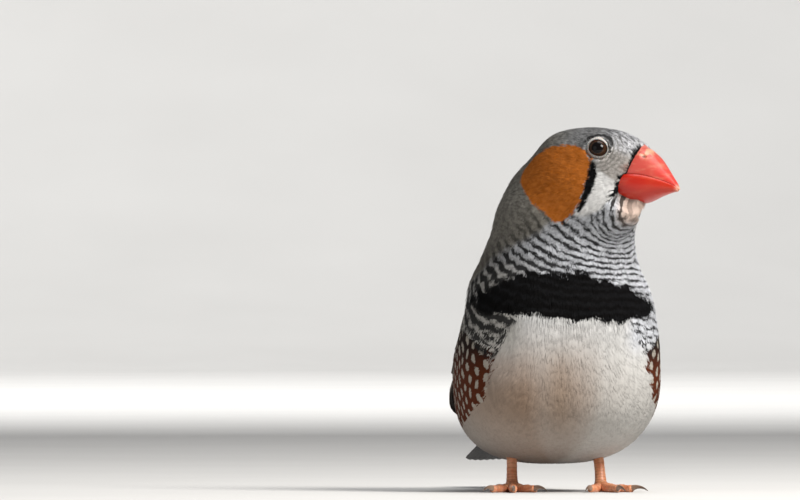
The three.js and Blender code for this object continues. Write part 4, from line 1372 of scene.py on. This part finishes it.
def add_tubes(name, grids, material, nodes, values):
    """One piece made of several closed rows of rings."""
    points, quads = join_grids(grids)
    mesh = new_mesh(name, points, [quads])
    add_values(mesh, values)
    piece(name, mesh, material, nodes)


def spread(count, *values):
    """Even steps between pairs of values, one tuple for each feather."""
    return list(zip(*[np.linspace(low, high, count) for low, high in values]))


TERTIALS = spread(3, (1.9, 1.5), (0.56, 0.66))
SECONDARIES = spread(5, (0.95, 0.9), (0.70, 0.80))
PRIMARIES = spread(7, (0.8, 0.7), (0.84, 1.0))
# Rows of wing feathers: root, where they rise over the row below, how high they lie there, and
# weight and tip of each. Roots and tips are shares of the wing's length
WING_ROWS = {
    "flight": (0.22, (0.28, 0.42), 0.50, TERTIALS + SECONDARIES + PRIMARIES),
    "greater": (0.09, (0.14, 0.25), 0.80, spread(11, (1, 1), (0.37, 0.33))),
    "median": (0.0, (0.03, 0.10), 1.08, spread(10, (1, 1), (0.19, 0.215))),
    "lesser": (-0.03, (0.0, 0.05), 1.32, spread(9, (1, 1), (0.105, 0.125))),
}
ROOT_HEIGHT = 0.05
STRIP_FADE = 0.06  # how far before its tip a feather starts to leave room to the others
STRIP_LEFT = 0.07  # the share of its width that it keeps then
STRIP_LEAST = 0.004
VANE_OVERLAP = 1.4  # how much wider than its strip it is where it lies free
VANE_TILT = 0.30
LAST_TILT = 0.4  # share of the tilt that the last feather of a row has
SHAFT = 0.25  # the column where a wing feather's shaft runs


def strips(feathers, along):
    """How much of the wing's width each feather of a row takes, at stations along it."""
    weights, tips = np.array(feathers).T
    past = along[:, None] - (tips - STRIP_FADE)
    shares = weights * (1 - (1 - STRIP_LEFT) * smoothstep(0, STRIP_FADE, past))
    return shares / shares.sum(1)[:, None]


def wing_vanes(side):
    """A wing's feathers, laid side by side in rows over the wing's sheet."""
    even = np.linspace(0, 1, VANE_STATIONS)
    t = even**0.85
    ridge = 0.07 * bell(VANE_COLUMNS - SHAFT, 0.06) * (1 - 0.7 * even[:, None])
    crown = 0.12 * (1 - VANE_COLUMNS**2) * np.minimum(1, 4 * even[:, None])
    narrowed = np.maximum(rounded_tip(t, 0.86), 0.08)
    vanes = []
    for row, (root, rise, high, feathers) in enumerate(WING_ROWS.values()):
        for k, (_, tip) in enumerate(feathers):
            along = lerp(root, tip, t)
            up = smoothstep(*rise, along)
            shares = strips(feathers, along)
            centre = 1 - (shares[:, :k].sum(1) + shares[:, k] / 2)
            half = shares[:, k] / 2 * lerp(0.6, VANE_OVERLAP, up) * narrowed
            half = np.maximum(half, STRIP_LEAST)
            across = centre[:, None] + half[:, None] * VANE_COLUMNS
            tilt = VANE_TILT * up * (LAST_TILT if k == len(feathers) - 1 else 1)
            low = lerp(ROOT_HEIGHT, high, up)[:, None] + tilt[:, None] * (1 - VANE_COLUMNS) / 2
            point_at = partial(wing_point, side)
            vanes.append(feather(point_at, t, along, across, low + crown, ridge, row))
    return vanes


FLIGHT_BROWN = (0.040, 0.029, 0.021)
COVERT_BROWN = (0.080, 0.062, 0.046)
EDGE_BROWN = (0.155, 0.118, 0.085)
SHAFT_BROWN = (0.02, 0.014, 0.01)
WING_BARBS = 120.0  # barbs along a feather
WING_GROOVE = (0.5, 0.5, 0.5)  # what the colour is dimmed by between the barbs


def vane_nodes(name):
    return Nodes(name, 0.62, sheen_weight=0.15, sheen_roughness=0.5, specular_ior_level=0.3)


def painted_vanes(n, colour, shaft, barbs, between):
    """Slanting barbs that run out and forward from the shaft, and each feather's own shade."""
    # How far out from the shaft, and along the feather at a slant
    out = n.maths("ABSOLUTE", n.minus(n.value("vane_across"), shaft))
    slant = n.minus(n.value("vane_along"), n.times(out, 0.06))
    wave = n.maths("SINE", n.times(slant, barbs * 2 * math.pi))
    ridges = n.step(wave, -0.6, 0.6)
    colour = n.mixed(colour, between, n.times(ridges, 0.12), "MULTIPLY")
    n.bump(ridges, 0.5, 0.00006)
    return n.paint(n.dimmed(colour, n.value("shade")))


def wing_material():
    n = vane_nodes("wing_feather")
    across = n.value("vane_across")
    covert = n.step(n.value("vane_row"), 0.5, 2.0)
    brown = n.mixed(FLIGHT_BROWN, COVERT_BROWN, covert)
    edge = n.step(n.maths("ABSOLUTE", across), 0.78, 0.95)
    tip = n.step(n.value("vane_along"), 0.94, 0.99)
    pale = n.times(n.maths("MAXIMUM", edge, tip), 0.7)
    colour = n.mixed(brown, EDGE_BROWN, pale)
    shaft = n.step(n.maths("ABSOLUTE", n.minus(across, SHAFT)), 0.09, 0.03)
    colour = n.mixed(colour, SHAFT_BROWN, shaft)
    return painted_vanes(n, colour, SHAFT, WING_BARBS, WING_GROOVE)


def build_wings():
    material = wing_material()
    for word, side in SIDES.items():
        name = f"wing_feathers_{word}"
        build_feathers(name, wing_vanes(side), material, f"wing_{word}")


TAIL_LENGTH = 32  # nearly, along its middle line


def tail_point(along, sideways, height):
    """The point over the tail's middle line; a share past its ends runs straight on."""
    line = [TAIL_START, TAIL_MIDDLE, TAIL_END]
    wanted = np.ravel(along)
    inside = np.clip(wanted, 0, 1)
    ahead = unit(along_points(line, inside + 0.01) - along_points(line, inside - 0.01))
    lift = unit(np.cross(np.array([1.0, 0, 0]), ahead))
    beyond = ((wanted - inside) * TAIL_LENGTH)[:, None]
    point = along_points(line, inside) + ahead * beyond + lift * np.ravel(height)[:, None]
    point[:, 0] += np.ravel(sideways)
    return point.reshape(*np.shape(along), 3)


TAIL_TIPS = [1, 0.998, 0.99, 0.978, 0.96, 0.935]  # from the middle pair outwards
TAIL_STATIONS = np.linspace(0, 1, VANE_STATIONS) ** 0.9
TAIL_GAP = 0.1  # between the two middle feathers, one under the other
TAIL_SPREAD = (0.45, 1.1)  # how far aside the first pair lies, and each next one from it
TAIL_DROP = (-0.25, -0.14)  # and their heights
TAIL_HALF = 1.05
TAIL_FULL = 6.6  # the tail's half width where these hold


def tail_across(centre, width, open_at, tip_start):
    """Places aside of a tail feather's columns, where it widens from its root to its tip."""
    t = TAIL_STATIONS
    half = width * lerp(0.5, 1, smoothstep(0, open_at, t))
    half = half * np.maximum(rounded_tip(t, tip_start), 0.1)
    return centre[:, None] + half[:, None] * VANE_COLUMNS


def tail_vanes():
    vanes = []
    ridge = 0.04 * bell(VANE_COLUMNS, 0.08)
    for k, tip in enumerate(TAIL_TIPS):
        for side in (1, -1):
            along = lerp(0.02, tip, TAIL_STATIONS)
            scale = lerp(*TAIL_HALF_WIDTH, along) / TAIL_FULL
            centre = side * (TAIL_SPREAD[0] + TAIL_SPREAD[1] * k) * scale
            across = tail_across(centre, TAIL_HALF * scale, 0.25, 0.93)
            under = TAIL_GAP if side < 0 and k == 0 else 0
            crown = 0.05 * np.maximum(side * VANE_COLUMNS, 0) + 0.06 * (1 - VANE_COLUMNS**2)
            low = TAIL_DROP[0] + TAIL_DROP[1] * k - under + crown
            vanes.append(feather(tail_point, TAIL_STATIONS, along, across, low, ridge, 0))
    return vanes


# Coverts at the tail's root: place aside, tip, and heights at root and tip, each with its change
# from feather to feather; half width; and 1 over the tail or 2 under it
COVERT_ROWS = [
    ((0.7, 1.2), (0.46, -0.05), (1.25, -0.22), (0.75, -0.2), 1.3, 1),
    ((0.6, 0.9), (0.30, -0.04), (2.2, -0.3), (1.5, -0.25), 1.3, 1),
    ((0.6, 1.05), (0.44, -0.05), (-3.4, 0.25), (-2.5, 0.15), 1.4, 2),
    ((0.5, 0.8), (0.24, -0.03), (-4.0, 0.3), (-3.4, 0.2), 1.4, 2),
]
COVERTS = 4  # in each row, on each side


def tail_coverts():
    vanes = []
    for side in (1, -1):
        for k in range(COVERTS):
            for *steps, width, row in COVERT_ROWS:
                aside, tip, start, end = (first + change * k for first, change in steps)
                along = lerp(-0.12, tip, TAIL_STATIONS)
                centre = side * aside * lerp(0.8, 1.1, TAIL_STATIONS)
                across = tail_across(centre, width, 0.4, 0.6)
                crown = 0.12 * (1 - VANE_COLUMNS**2) * (1 if row == 1 else -1)
                low = lerp(start, end, TAIL_STATIONS)[:, None] + crown
                vanes.append(feather(tail_point, TAIL_STATIONS, along, across, low, 0, row))
    return vanes


TAIL_BLACK = (0.018, 0.015, 0.013)
BARRED_BLACK = (0.02, 0.018, 0.017)  # the bars of the upper coverts
BARRED_WHITE = (0.68, 0.67, 0.65)
UNDER_WHITE = (0.72, 0.70, 0.66)
TAIL_BARBS = 80.0
TAIL_GROOVE = (0.6, 0.6, 0.6)


def tail_material():
    n = vane_nodes("tail_feather")
    row = n.value("vane_row")
    bars = n.step(n.maths("SINE", n.times(n.value("vane_along"), 19.0)), -0.1, 0.1)
    upper = n.mixed(BARRED_BLACK, BARRED_WHITE, bars)
    colour = n.mixed(TAIL_BLACK, upper, n.step(row, 0.4, 0.6))
    colour = n.mixed(colour, UNDER_WHITE, n.step(row, 1.4, 1.6))
    return painted_vanes(n, colour, 0.0, TAIL_BARBS, TAIL_GROOVE)


def build_tail():
    vanes = tail_vanes() + tail_coverts()
    build_feathers("tail_feathers", vanes, tail_material(), "tail")


# Bill

BILL_STATIONS = 96
BILL_SIDES = 60
LIP_GAP = 0.035
UPPER_FULLNESS = 0.8  # exponents of the halves' round sections: the lower one is squarer
LOWER_FULLNESS = 0.55
NOSTRIL = (6.75, 2.7, 1.25)  # the left one's centre in the head frame
NOSTRIL_DEPTH = 0.42
NOSTRIL_RADIUS = 0.36
RIM_HEIGHT = 0.09  # of the low rim round it
RIM_RADIUS = 0.62


def from_nostril(points, side, inward, scale):
    """Distances of points of the head frame from a nostril."""
    x, y, z = NOSTRIL
    offset = points - np.array([x, side * (y - inward), z])
    return np.linalg.norm(offset * scale, axis=-1)


def bill_half(profile, sign, tip):
    """Rings of one half of the bill in the head frame, from its root to its tip."""
    share = np.linspace(0, 1, BILL_STATIONS)
    x = lerp(BILL_ROOT, tip, 1 - (1 - share) ** 1.25)
    edge = profile_at(MOUTH, x) + sign * LIP_GAP / 2
    crest = profile_at(profile, x)
    width = profile_at(HALF_WIDTH, x) * (1 if sign > 0 else JAW_WIDTH)
    width = width * np.sqrt(np.clip((tip + 0.02 - x) / 0.7, 0, 1)) ** 0.3
    angle = np.linspace(0, math.pi, BILL_SIDES)
    rise = np.sin(angle) ** (UPPER_FULLNESS if sign > 0 else LOWER_FULLNESS)
    y = width[:, None] * np.cos(angle)
    z = edge[:, None] + (crest - edge)[:, None] * rise
    rings = np.stack([np.broadcast_to(x[:, None], y.shape), y, z], -1)
    if sign > 0:
        for side in SIDES.values():
            far = from_nostril(rings, side, 0, (0.8, 1, 1))
            dent = NOSTRIL_DEPTH * bell(far, NOSTRIL_RADIUS)
            rings[..., 1] -= side * (dent - RIM_HEIGHT * bell(far - RIM_RADIUS, 0.2))
    return rings


TIP_COLOUR = (0.62, 0.32, 0.22)
# Painted shade inside the nostrils
NOSTRIL_SHADE = (0.10, 0.012, 0.01)


def horn_material(name, base, end, pale):
    n = Nodes(name, 0.36, coat_weight=0.25, coat_roughness=0.15, subsurface_weight=0.2,
              subsurface_scale=0.0006, specular_ior_level=0.35)
    n.surface.inputs["Subsurface Radius"].default_value = (1.0, 0.2, 0.1)
    along = n.value("along")
    streak = n.noise(900.0, 3.0, (0.35, 0.35, 1.0))
    flake = n.step(n.noise(900.0, 4.0), 0.42, 0.55)
    blot = n.times(n.step(n.noise(260.0, 4.0), 0.55, 0.75), 0.15)
    colour = n.mixed(base, end, n.step(along, 7.0, 12.5))
    colour = n.mixed(colour, pale, n.maths("MAXIMUM", n.times(n.value("worn"), flake), blot))
    colour = n.mixed(colour, TIP_COLOUR, n.step(along, 13.3, 14.3))
    colour = n.mixed(colour, pale, n.times(n.step(streak, 0.5, 0.75), 0.3))
    # Painted shade in the nostrils
    colour = n.mixed(colour, NOSTRIL_SHADE, n.step(n.value("pit"), 0.35, 0.95))
    n.bump(streak, 0.25, 0.00008)
    return n.paint(colour)


# Colours of each half at its root, ahead and where it is worn
UPPER_COLOURS = (0.46, 0.062, 0.045), (0.55, 0.038, 0.026), (0.62, 0.33, 0.20)
LOWER_COLOURS = (0.41, 0.011, 0.002), (0.48, 0.020, 0.004), (0.50, 0.07, 0.025)
JAW_SHORTER = 0.3
BILL_HALVES = {  # profile, side of the mouth, tip and colours
    "bill_upper": (RIDGE, 1, BILL_TIP, UPPER_COLOURS),
    "bill_lower": (JAW, -1, BILL_TIP - JAW_SHORTER, LOWER_COLOURS),
}
WORN_AT = 6.6  # the pale worn spot on the bill's ridge, by how far ahead it is
WORN_LENGTH = 1.1
WORN_HEIGHT = (0.3, 1.9)  # where it fades in, up the bill's side
WORN_SHARE = 0.85
PIT_RADIUS = 0.38  # of the painted shade in the nostril


def build_bill():
    for name, (profile, sign, tip, colours) in BILL_HALVES.items():
        rings = bill_half(profile, sign, tip)
        places = rings.reshape(-1, 3)
        pit, worn = np.zeros(len(places)), np.zeros(len(places))
        if sign > 0:
            worn = WORN_SHARE * bell(places[:, 0] - WORN_AT, WORN_LENGTH)
            worn = worn * smoothstep(*WORN_HEIGHT, places[:, 2])
            for side in SIDES.values():
                pit += bell(from_nostril(places, side, 0.2, (0.8, 0.6, 1)), PIT_RADIUS)
        values = {"along": places[:, 0], "pit": pit, "worn": worn}
        horn = f"{name}_horn"
        points = rings @ HEAD.T + EYE_LINE
        add_tubes(horn, [points], horn_material(horn, *colours), [name], values)


# Eyes and lids

BALL_ROWS = 64
BALL_COLUMNS = 96
CORNEA_RISE = 0.10  # the eyeball's bulge in front
CORNEA_RADIUS = 1.2
PUPIL = (0.003, 0.002, 0.002)
IRIS_DARK = (0.018, 0.008, 0.004)
IRIS_RED = (0.046, 0.021, 0.010)
EYE_RIM = (0.012, 0.008, 0.006)
LID_OPENING = (1.62, 1.36)  # half length along the head and half height
LID_REACH = 2.12  # radius of the ring's outer edge
LID_ROWS = 14
LID_COLUMNS = 180
LID_BEADS = 38
LID_GAP = 0.06  # between the eyeball and the ring
LID_SWELL = 0.30
LID_DEPTH = 0.35  # of the ring's hidden side under its top
LID_BACK = 1.6  # the farthest out of the eye that this side lies
LID_EDGE = 0.10  # how much lower the ring's outermost row is
BEAD_RISE = 0.045
RING_GREY = (0.34, 0.325, 0.30)
RING_BEAD = (0.60, 0.58, 0.55)
RING_DARK = (0.10, 0.09, 0.08)  # next to the eyeball


def eye_frame(side):
    """Columns: forward along the head, up, and out of the eye."""
    out = eye_axis(side)
    forward = unit(HEAD[:, 0] - out * (HEAD[:, 0] @ out))
    up = np.cross(out, forward)
    if up @ HEAD[:, 2] < 0:
        up = -up
    return np.stack([forward, up, out], 1)


def eye_material():
    n = Nodes("eye", 0.03, specular_ior_level=0.19)
    off_axis = n.value("off_axis")
    iris = n.mixed(IRIS_DARK, IRIS_RED, n.value("streak"))
    colour = n.mixed(PUPIL, iris, n.step(off_axis, 0.93, 1.02))
    return n.paint(n.mixed(colour, EYE_RIM, n.step(off_axis, 1.42, 1.56)))


def build_eyeball(word, side, material):
    polar = np.linspace(0.002, math.pi - 0.002, BALL_ROWS)[:, None]
    around = np.arange(BALL_COLUMNS) * 2 * math.pi / BALL_COLUMNS
    ring, level = np.sin(polar), np.cos(polar) + 0 * around
    ball = np.stack([ring * np.cos(around), ring * np.sin(around), level], -1) * EYE_RADIUS
    far = np.linalg.norm(ball[..., :2], axis=-1)
    bulge = CORNEA_RISE * np.exp(-((far / CORNEA_RADIUS) ** 4)) * (ball[..., 2] > 0)
    ball = ball * (1 + bulge / EYE_RADIUS)[..., None]
    streak = np.tile(0.5 + 0.35 * rng.standard_normal(BALL_COLUMNS), BALL_ROWS).clip(0, 1)
    values = {"off_axis": np.linalg.norm(ball[..., :2], axis=-1).ravel(), "streak": streak}
    points = ball @ eye_frame(side).T + eye_centre(side)
    add_tubes(f"eyeball_{word}", [points], material, [f"eye_{word}"], values)


def bare_ring_material():
    n = Nodes("bare_ring", 0.55, subsurface_weight=0.15, subsurface_scale=0.0008)
    colour = n.mixed(RING_GREY, RING_BEAD, n.value("bead"))
    colour = n.mixed(colour, RING_DARK, n.step(n.value("rim"), 0.35, 0.0))
    n.bump(n.noise(1500.0, 3.0), 0.4, 0.00005)
    return n.paint(colour)


def build_eye_ring(word, side, material):
    """The ring of bare skin round an eye, swollen and set with beads."""
    around = np.arange(LID_COLUMNS) * 2 * math.pi / LID_COLUMNS
    inner = np.hypot(LID_OPENING[0] * np.cos(around), LID_OPENING[1] * np.sin(around))
    rim = np.linspace(0, 1, LID_ROWS)[:, None]
    radius = lerp(inner[None, :], LID_REACH, rim)
    bead = np.maximum(0, np.cos(LID_BEADS * around))[None, :]
    shell = np.sqrt(np.maximum((EYE_RADIUS + LID_GAP) ** 2 - radius**2, 0.3))
    swell = LID_SWELL * np.sin(math.pi * np.clip(rim * 0.9 + 0.06, 0, 1)) ** 0.6
    beads = BEAD_RISE * bead * np.sin(math.pi * rim) ** 2
    height = shell + swell + beads - LID_EDGE * (rim > 0.97)
    top = np.stack([radius * np.cos(around), radius * np.sin(around), height], -1)
    base = top[::-1].copy()
    base[..., 2] = np.minimum(base[..., 2] - LID_DEPTH, LID_BACK)
    rings = np.concatenate([top, base])
    points = rings.reshape(-1, 3) @ eye_frame(side).T + eye_centre(side)
    wrapped = ring_faces(len(rings) + 1, LID_COLUMNS) % len(points)
    mesh = new_mesh(f"eye_ring_{word}", points, [wrapped])
    rims = np.concatenate([rim, rim[::-1]])
    values = {"bead": bead, "rim": rims}
    shape = rings.shape[:2]
    add_values(mesh, {name: np.broadcast_to(v, shape).ravel() for name, v in values.items()})
    piece(f"eye_ring_{word}", mesh, material, [f"eyelid_{word}"])


def build_eyes():
    eye, bare_ring = eye_material(), bare_ring_material()
    for word, side in SIDES.items():
        build_eyeball(word, side, eye)
        build_eye_ring(word, side, bare_ring)


# Legs, feet and claws

TUBE_SIDES = 24
PLATE_STATIONS = 7  # rings for each plate of a toe or leg
TOE_PLATE = 0.72  # how long a plate is
LEG_PLATES = 13
PLATE_RISE = 0.055  # as a share of the toe's radius
SEAM_SINK = 0.03
TOE_TAPER = 0.22  # and the toe's own form, also as shares
TOE_PADS = 0.07
LEG_ENDS = 1.12  # a leg's ends and waist, as shares of its radius
LEG_WAIST = 0.2
HUB_SWELL = 0.22
LEG_ORANGE = (0.60, 0.22, 0.10)
LEG_PALE = (0.72, 0.34, 0.19)
SEAM_BROWN = (0.34, 0.11, 0.05)
CLAW_PALE = (0.30, 0.20, 0.14)
CLAW_DARK = (0.10, 0.065, 0.045)  # at its tip
LEG_FOOT = (0, 0, HUB_HEIGHT - 0.35)
LEG_BEND = (-0.1, 0.9, 4.2)
LEG_TOP = (-0.5, 3, 10)
CLAW_STATIONS = 34
CLAW_RADIUS = (0.56, 0.05)
CLAW_FLAT = 0.72
CLAW_LINE = [  # as shares of its length ahead of the toe's end, and heights
    (-0.12, 0.05), (0.12, 0.26), (0.4, 0.30), (0.72, 0.10), (1.0, -0.35),
]
CLAW_FLOOR = 0.02


def tube(line, stations, radius_at, flat=1.0):
    """Rings round a smooth line, each with its own radii; a ring's first point is at a side."""
    t = np.linspace(0, 1, stations)
    centre = along_points(line, t)
    ahead = unit(np.gradient(centre, axis=0))
    side = np.cross(ahead, np.array([0, 0, 1.0]))
    upright = np.linalg.norm(side, axis=1, keepdims=True) < 0.15
    side = np.where(upright, np.array([1.0, 0, 0]), side)
    side = unit(side - ahead * (side * ahead).sum(1)[:, None])
    lift = np.cross(side, ahead)
    angle = np.arange(TUBE_SIDES) * 2 * math.pi / TUBE_SIDES
    radius = radius_at(t[:, None], angle[None, :])
    aside = side[:, None] * (radius * np.cos(angle) * flat)[..., None]
    return centre[:, None] + aside + lift[:, None] * (radius * np.sin(angle))[..., None]


def round_ends(t, sharp):
    """The share of a tube's radius that is left where it is rounded off at both ends."""
    ends = [np.clip(share * sharp, 0, 1) for share in (t, 1 - t)]
    first, last = (np.sqrt(np.clip(1 - (1 - end) ** 2, 0.02, 1)) for end in ends)
    return first * last


def foot_point(side, x, y, z):
    return np.array([side * (FOOT_SIDE + x), FOOT_Y + y, z], float)


def toe_line(side, degrees, length):
    turn = math.radians(degrees)
    way = np.array([side * math.sin(turn), -math.cos(turn), 0])
    shares = [(0, HUB_HEIGHT), (0.3, TOE_HEIGHT + TOE_ARCH), (0.65, TOE_HEIGHT), (1, TOE_HEIGHT)]
    return [foot_point(side, 0, 0, z) + way * share * length for share, z in shares], way


def plates(t, angle, count, front):
    """Overlapping plates on the side that front points to, and fine pads on the other."""
    saw = (t * count) % 1
    plate = PLATE_RISE * saw**2 - SEAM_SINK * bell(saw, 0.12)
    facing = smoothstep(-0.1, 0.4, np.sin(angle - front + math.pi / 2))
    pads = 0.025 * np.cos(angle * 9) * np.sin(t * count * 4) * (1 - facing)
    return plate * facing + pads


def plated_tube(line, count, bulk_at, sharp, front):
    """A toe or a leg, and how near to a seam between two plates each of its points is."""

    def radius_at(t, angle):
        return bulk_at(t) * round_ends(t, sharp) * (1 + plates(t, angle, count, front))

    stations = count * PLATE_STATIONS
    rings = tube(line, stations, radius_at)
    seam = bell(np.linspace(0, 1, stations) * count % 1, 0.14)
    return rings, np.repeat(seam, TUBE_SIDES)


def toe(line, length):
    def bulk_at(t):
        return TOE_RADIUS * (1 - TOE_TAPER * t + TOE_PADS * np.cos(6 * math.pi * t))

    rings, seams = plated_tube(line, round(length / TOE_PLATE), bulk_at, 14, math.pi / 2)
    rings[..., 2] = np.maximum(rings[..., 2], 0)
    return rings, seams


def leg(side):
    def bulk_at(t):
        return LEG_RADIUS * (LEG_ENDS - LEG_WAIST * np.sin(math.pi * t)) + HUB_SWELL * bell(t, 0.08)

    line = [foot_point(side, *place) for place in (LEG_FOOT, LEG_BEND, LEG_TOP)]
    return plated_tube(line, LEG_PLATES, bulk_at, 20, -math.pi / 2)


def build_claw(name, start, way, length, material):
    def radius_at(t, _):
        return lerp(*CLAW_RADIUS, t**0.9) * round_ends(t, 12)

    line = [start + way * share * length + np.array([0, 0, z]) for share, z in CLAW_LINE]
    rings = tube(line, CLAW_STATIONS, radius_at, CLAW_FLAT)
    rings[..., 2] = np.maximum(rings[..., 2], CLAW_FLOOR)
    along = np.repeat(np.linspace(0, 1, CLAW_STATIONS), TUBE_SIDES)
    add_tubes(f"{name}_horn", [rings], material, [name], {"along": along})


def leg_material():
    n = Nodes("leg_skin", 0.42, subsurface_weight=0.12, subsurface_scale=0.001)
    grain = n.noise(1100.0, 4.0)
    colour = n.mixed(LEG_ORANGE, LEG_PALE, n.step(grain, 0.35, 0.7))
    colour = n.mixed(colour, SEAM_BROWN, n.step(n.value("seam"), 0.25, 0.9))
    n.bump(grain, 0.35, 0.00006)
    return n.paint(colour)


def claw_material():
    n = Nodes("claw_horn", 0.32, coat_weight=0.3, coat_roughness=0.2)
    n.bump(n.noise(900.0, 3.0), 0.2, 0.00004)
    return n.paint(n.mixed(CLAW_PALE, CLAW_DARK, n.step(n.value("along"), 0.2, 0.9)))


def build_feet():
    skin, horn = leg_material(), claw_material()
    for word, side in SIDES.items():
        tubes = []
        for name, (degrees, length, claw_length) in TOES.items():
            line, way = toe_line(side, degrees, length)
            tubes.append(toe(line, length))
            build_claw(f"claw_{name}_{word}", line[-1], way, claw_length, horn)
        tubes.append(leg(side))
        grids, seams = zip(*tubes)
        nodes = [f"foot_{word}", f"leg_{word}"]
        values = {"seam": np.concatenate(seams)}
        add_tubes(f"foot_skin_{word}", grids, skin, nodes, values)


# Stage, lights and camera

CAMERA_CLIP = (0.01, 20)  # metres


def view_axes():
    turn = math.radians(VIEW_AZIMUTH)
    towards = np.array([math.sin(turn), -math.cos(turn), 0])
    right = np.array([math.cos(turn), math.sin(turn), 0])
    return towards, right


def build_camera():
    towards, right = view_axes()
    target = right * VIEW_SIDE + towards * VIEW_PLANE + np.array([0, 0, VIEW_HEIGHT])
    place = target + towards * CAMERA_DISTANCE
    data = bpy.data.cameras.new("camera")
    data.sensor_width = SENSOR
    data.lens = SENSOR * CAMERA_DISTANCE / (FRAME_PIXELS / PIXELS_PER_MM)
    data.clip_start, data.clip_end = CAMERA_CLIP
    camera = bpy.data.objects.new("camera", data)
    bpy.context.scene.collection.objects.link(camera)
    axes = np.stack([right, np.array([0, 0, 1.0]), towards], 1)
    matrix = Matrix(axes.tolist()).to_4x4()
    matrix.translation = Vector(to_row(place))
    camera.matrix_world = matrix
    bpy.context.scene.camera = camera


# The floor's measures in metres: it bends up into a backdrop at its far end
SWEEP = {"near": -3.4, "far": 2.6, "bend": 0.8, "rise": 2.6, "half_width": 3.4}
FLOOR_COLOURS = (0.60, 0.59, 0.57), (0.66, 0.65, 0.63)
# Place and size in metres, power, colour and target of each light
BIRD_MIDDLE = (0, 0, 0.035)
LIGHTS = {
    "key": ((0.40, -0.58, 0.58), 0.40, 11.5, (1.0, 0.975, 0.94), BIRD_MIDDLE),
    "fill": ((-0.62, -0.5, 0.25), 0.6, 0.6, (0.93, 0.96, 1.0), BIRD_MIDDLE),
    "top": ((0.15, 0.0, 0.8), 0.6, 3.0, (1.0, 1.0, 1.0), BIRD_MIDDLE),
    "backdrop": ((0.0, 1.1, 1.4), 1.2, 60.0, (1.0, 1.0, 1.0), (0, 3.2, 0.9)),
}
SKY_COLOUR = (0.90, 0.93, 1.0, 1)
SKY_POWER = 0.22


def build_floor():
    n = Nodes("studio_floor", 0.9, specular_ior_level=0.2)
    material = n.paint(n.mixed(*FLOOR_COLOURS, n.noise(14.0, 2.0)))
    near, far, bend, rise, half_width = SWEEP.values()
    arc = np.linspace(0, math.pi / 2, 20)
    bent = [(far + bend * math.sin(a), bend * (1 - math.cos(a))) for a in arc]
    profile = [(near, 0), *bent, (far + bend, rise)]
    width = np.linspace(-half_width, half_width, 12)
    points = np.array([(x, y, z) for y, z in profile for x in width])
    index = np.arange(len(points)).reshape(len(profile), len(width))
    corners = [index[:-1, :-1], index[:-1, 1:], index[1:, 1:], index[1:, :-1]]
    quads = np.stack(corners, -1).reshape(-1, 4)
    mesh = new_mesh("studio_floor", points / MM - ROW_SHIFT, [quads], closed=False)
    mesh.materials.append(material)
    floor = bpy.data.objects.new("studio_floor", mesh)
    bpy.context.scene.collection.objects.link(floor)


def build_light(name, place, size, power, colour, target):
    data = bpy.data.lights.new(name, "AREA")
    data.shape = "DISK"
    data.size = size
    data.energy = power
    data.color = colour
    light = bpy.data.objects.new(name, data)
    light.location = place
    direction = Vector(target) - Vector(place)
    light.rotation_euler = direction.to_track_quat("-Z", "Y").to_euler()
    bpy.context.scene.collection.objects.link(light)


def build_stage():
    build_floor()
    for name, values in LIGHTS.items():
        build_light(name, *values)
    world = bpy.data.worlds.new("studio")
    world.use_nodes = True
    background = world.node_tree.nodes["Background"]
    background.inputs[0].default_value = SKY_COLOUR
    background.inputs[1].default_value = SKY_POWER
    bpy.context.scene.world = world
    bpy.context.scene.view_settings.view_transform = "Standard"


build_camera()
build_stage()
outer_points, outer_quads = surface_quads(SKIN_STEP)
skin_map = build_skin(outer_points, outer_quads)
build_coat(outer_points, outer_quads, skin_map)
build_wings()
build_tail()
build_bill()
build_eyes()
build_feet()
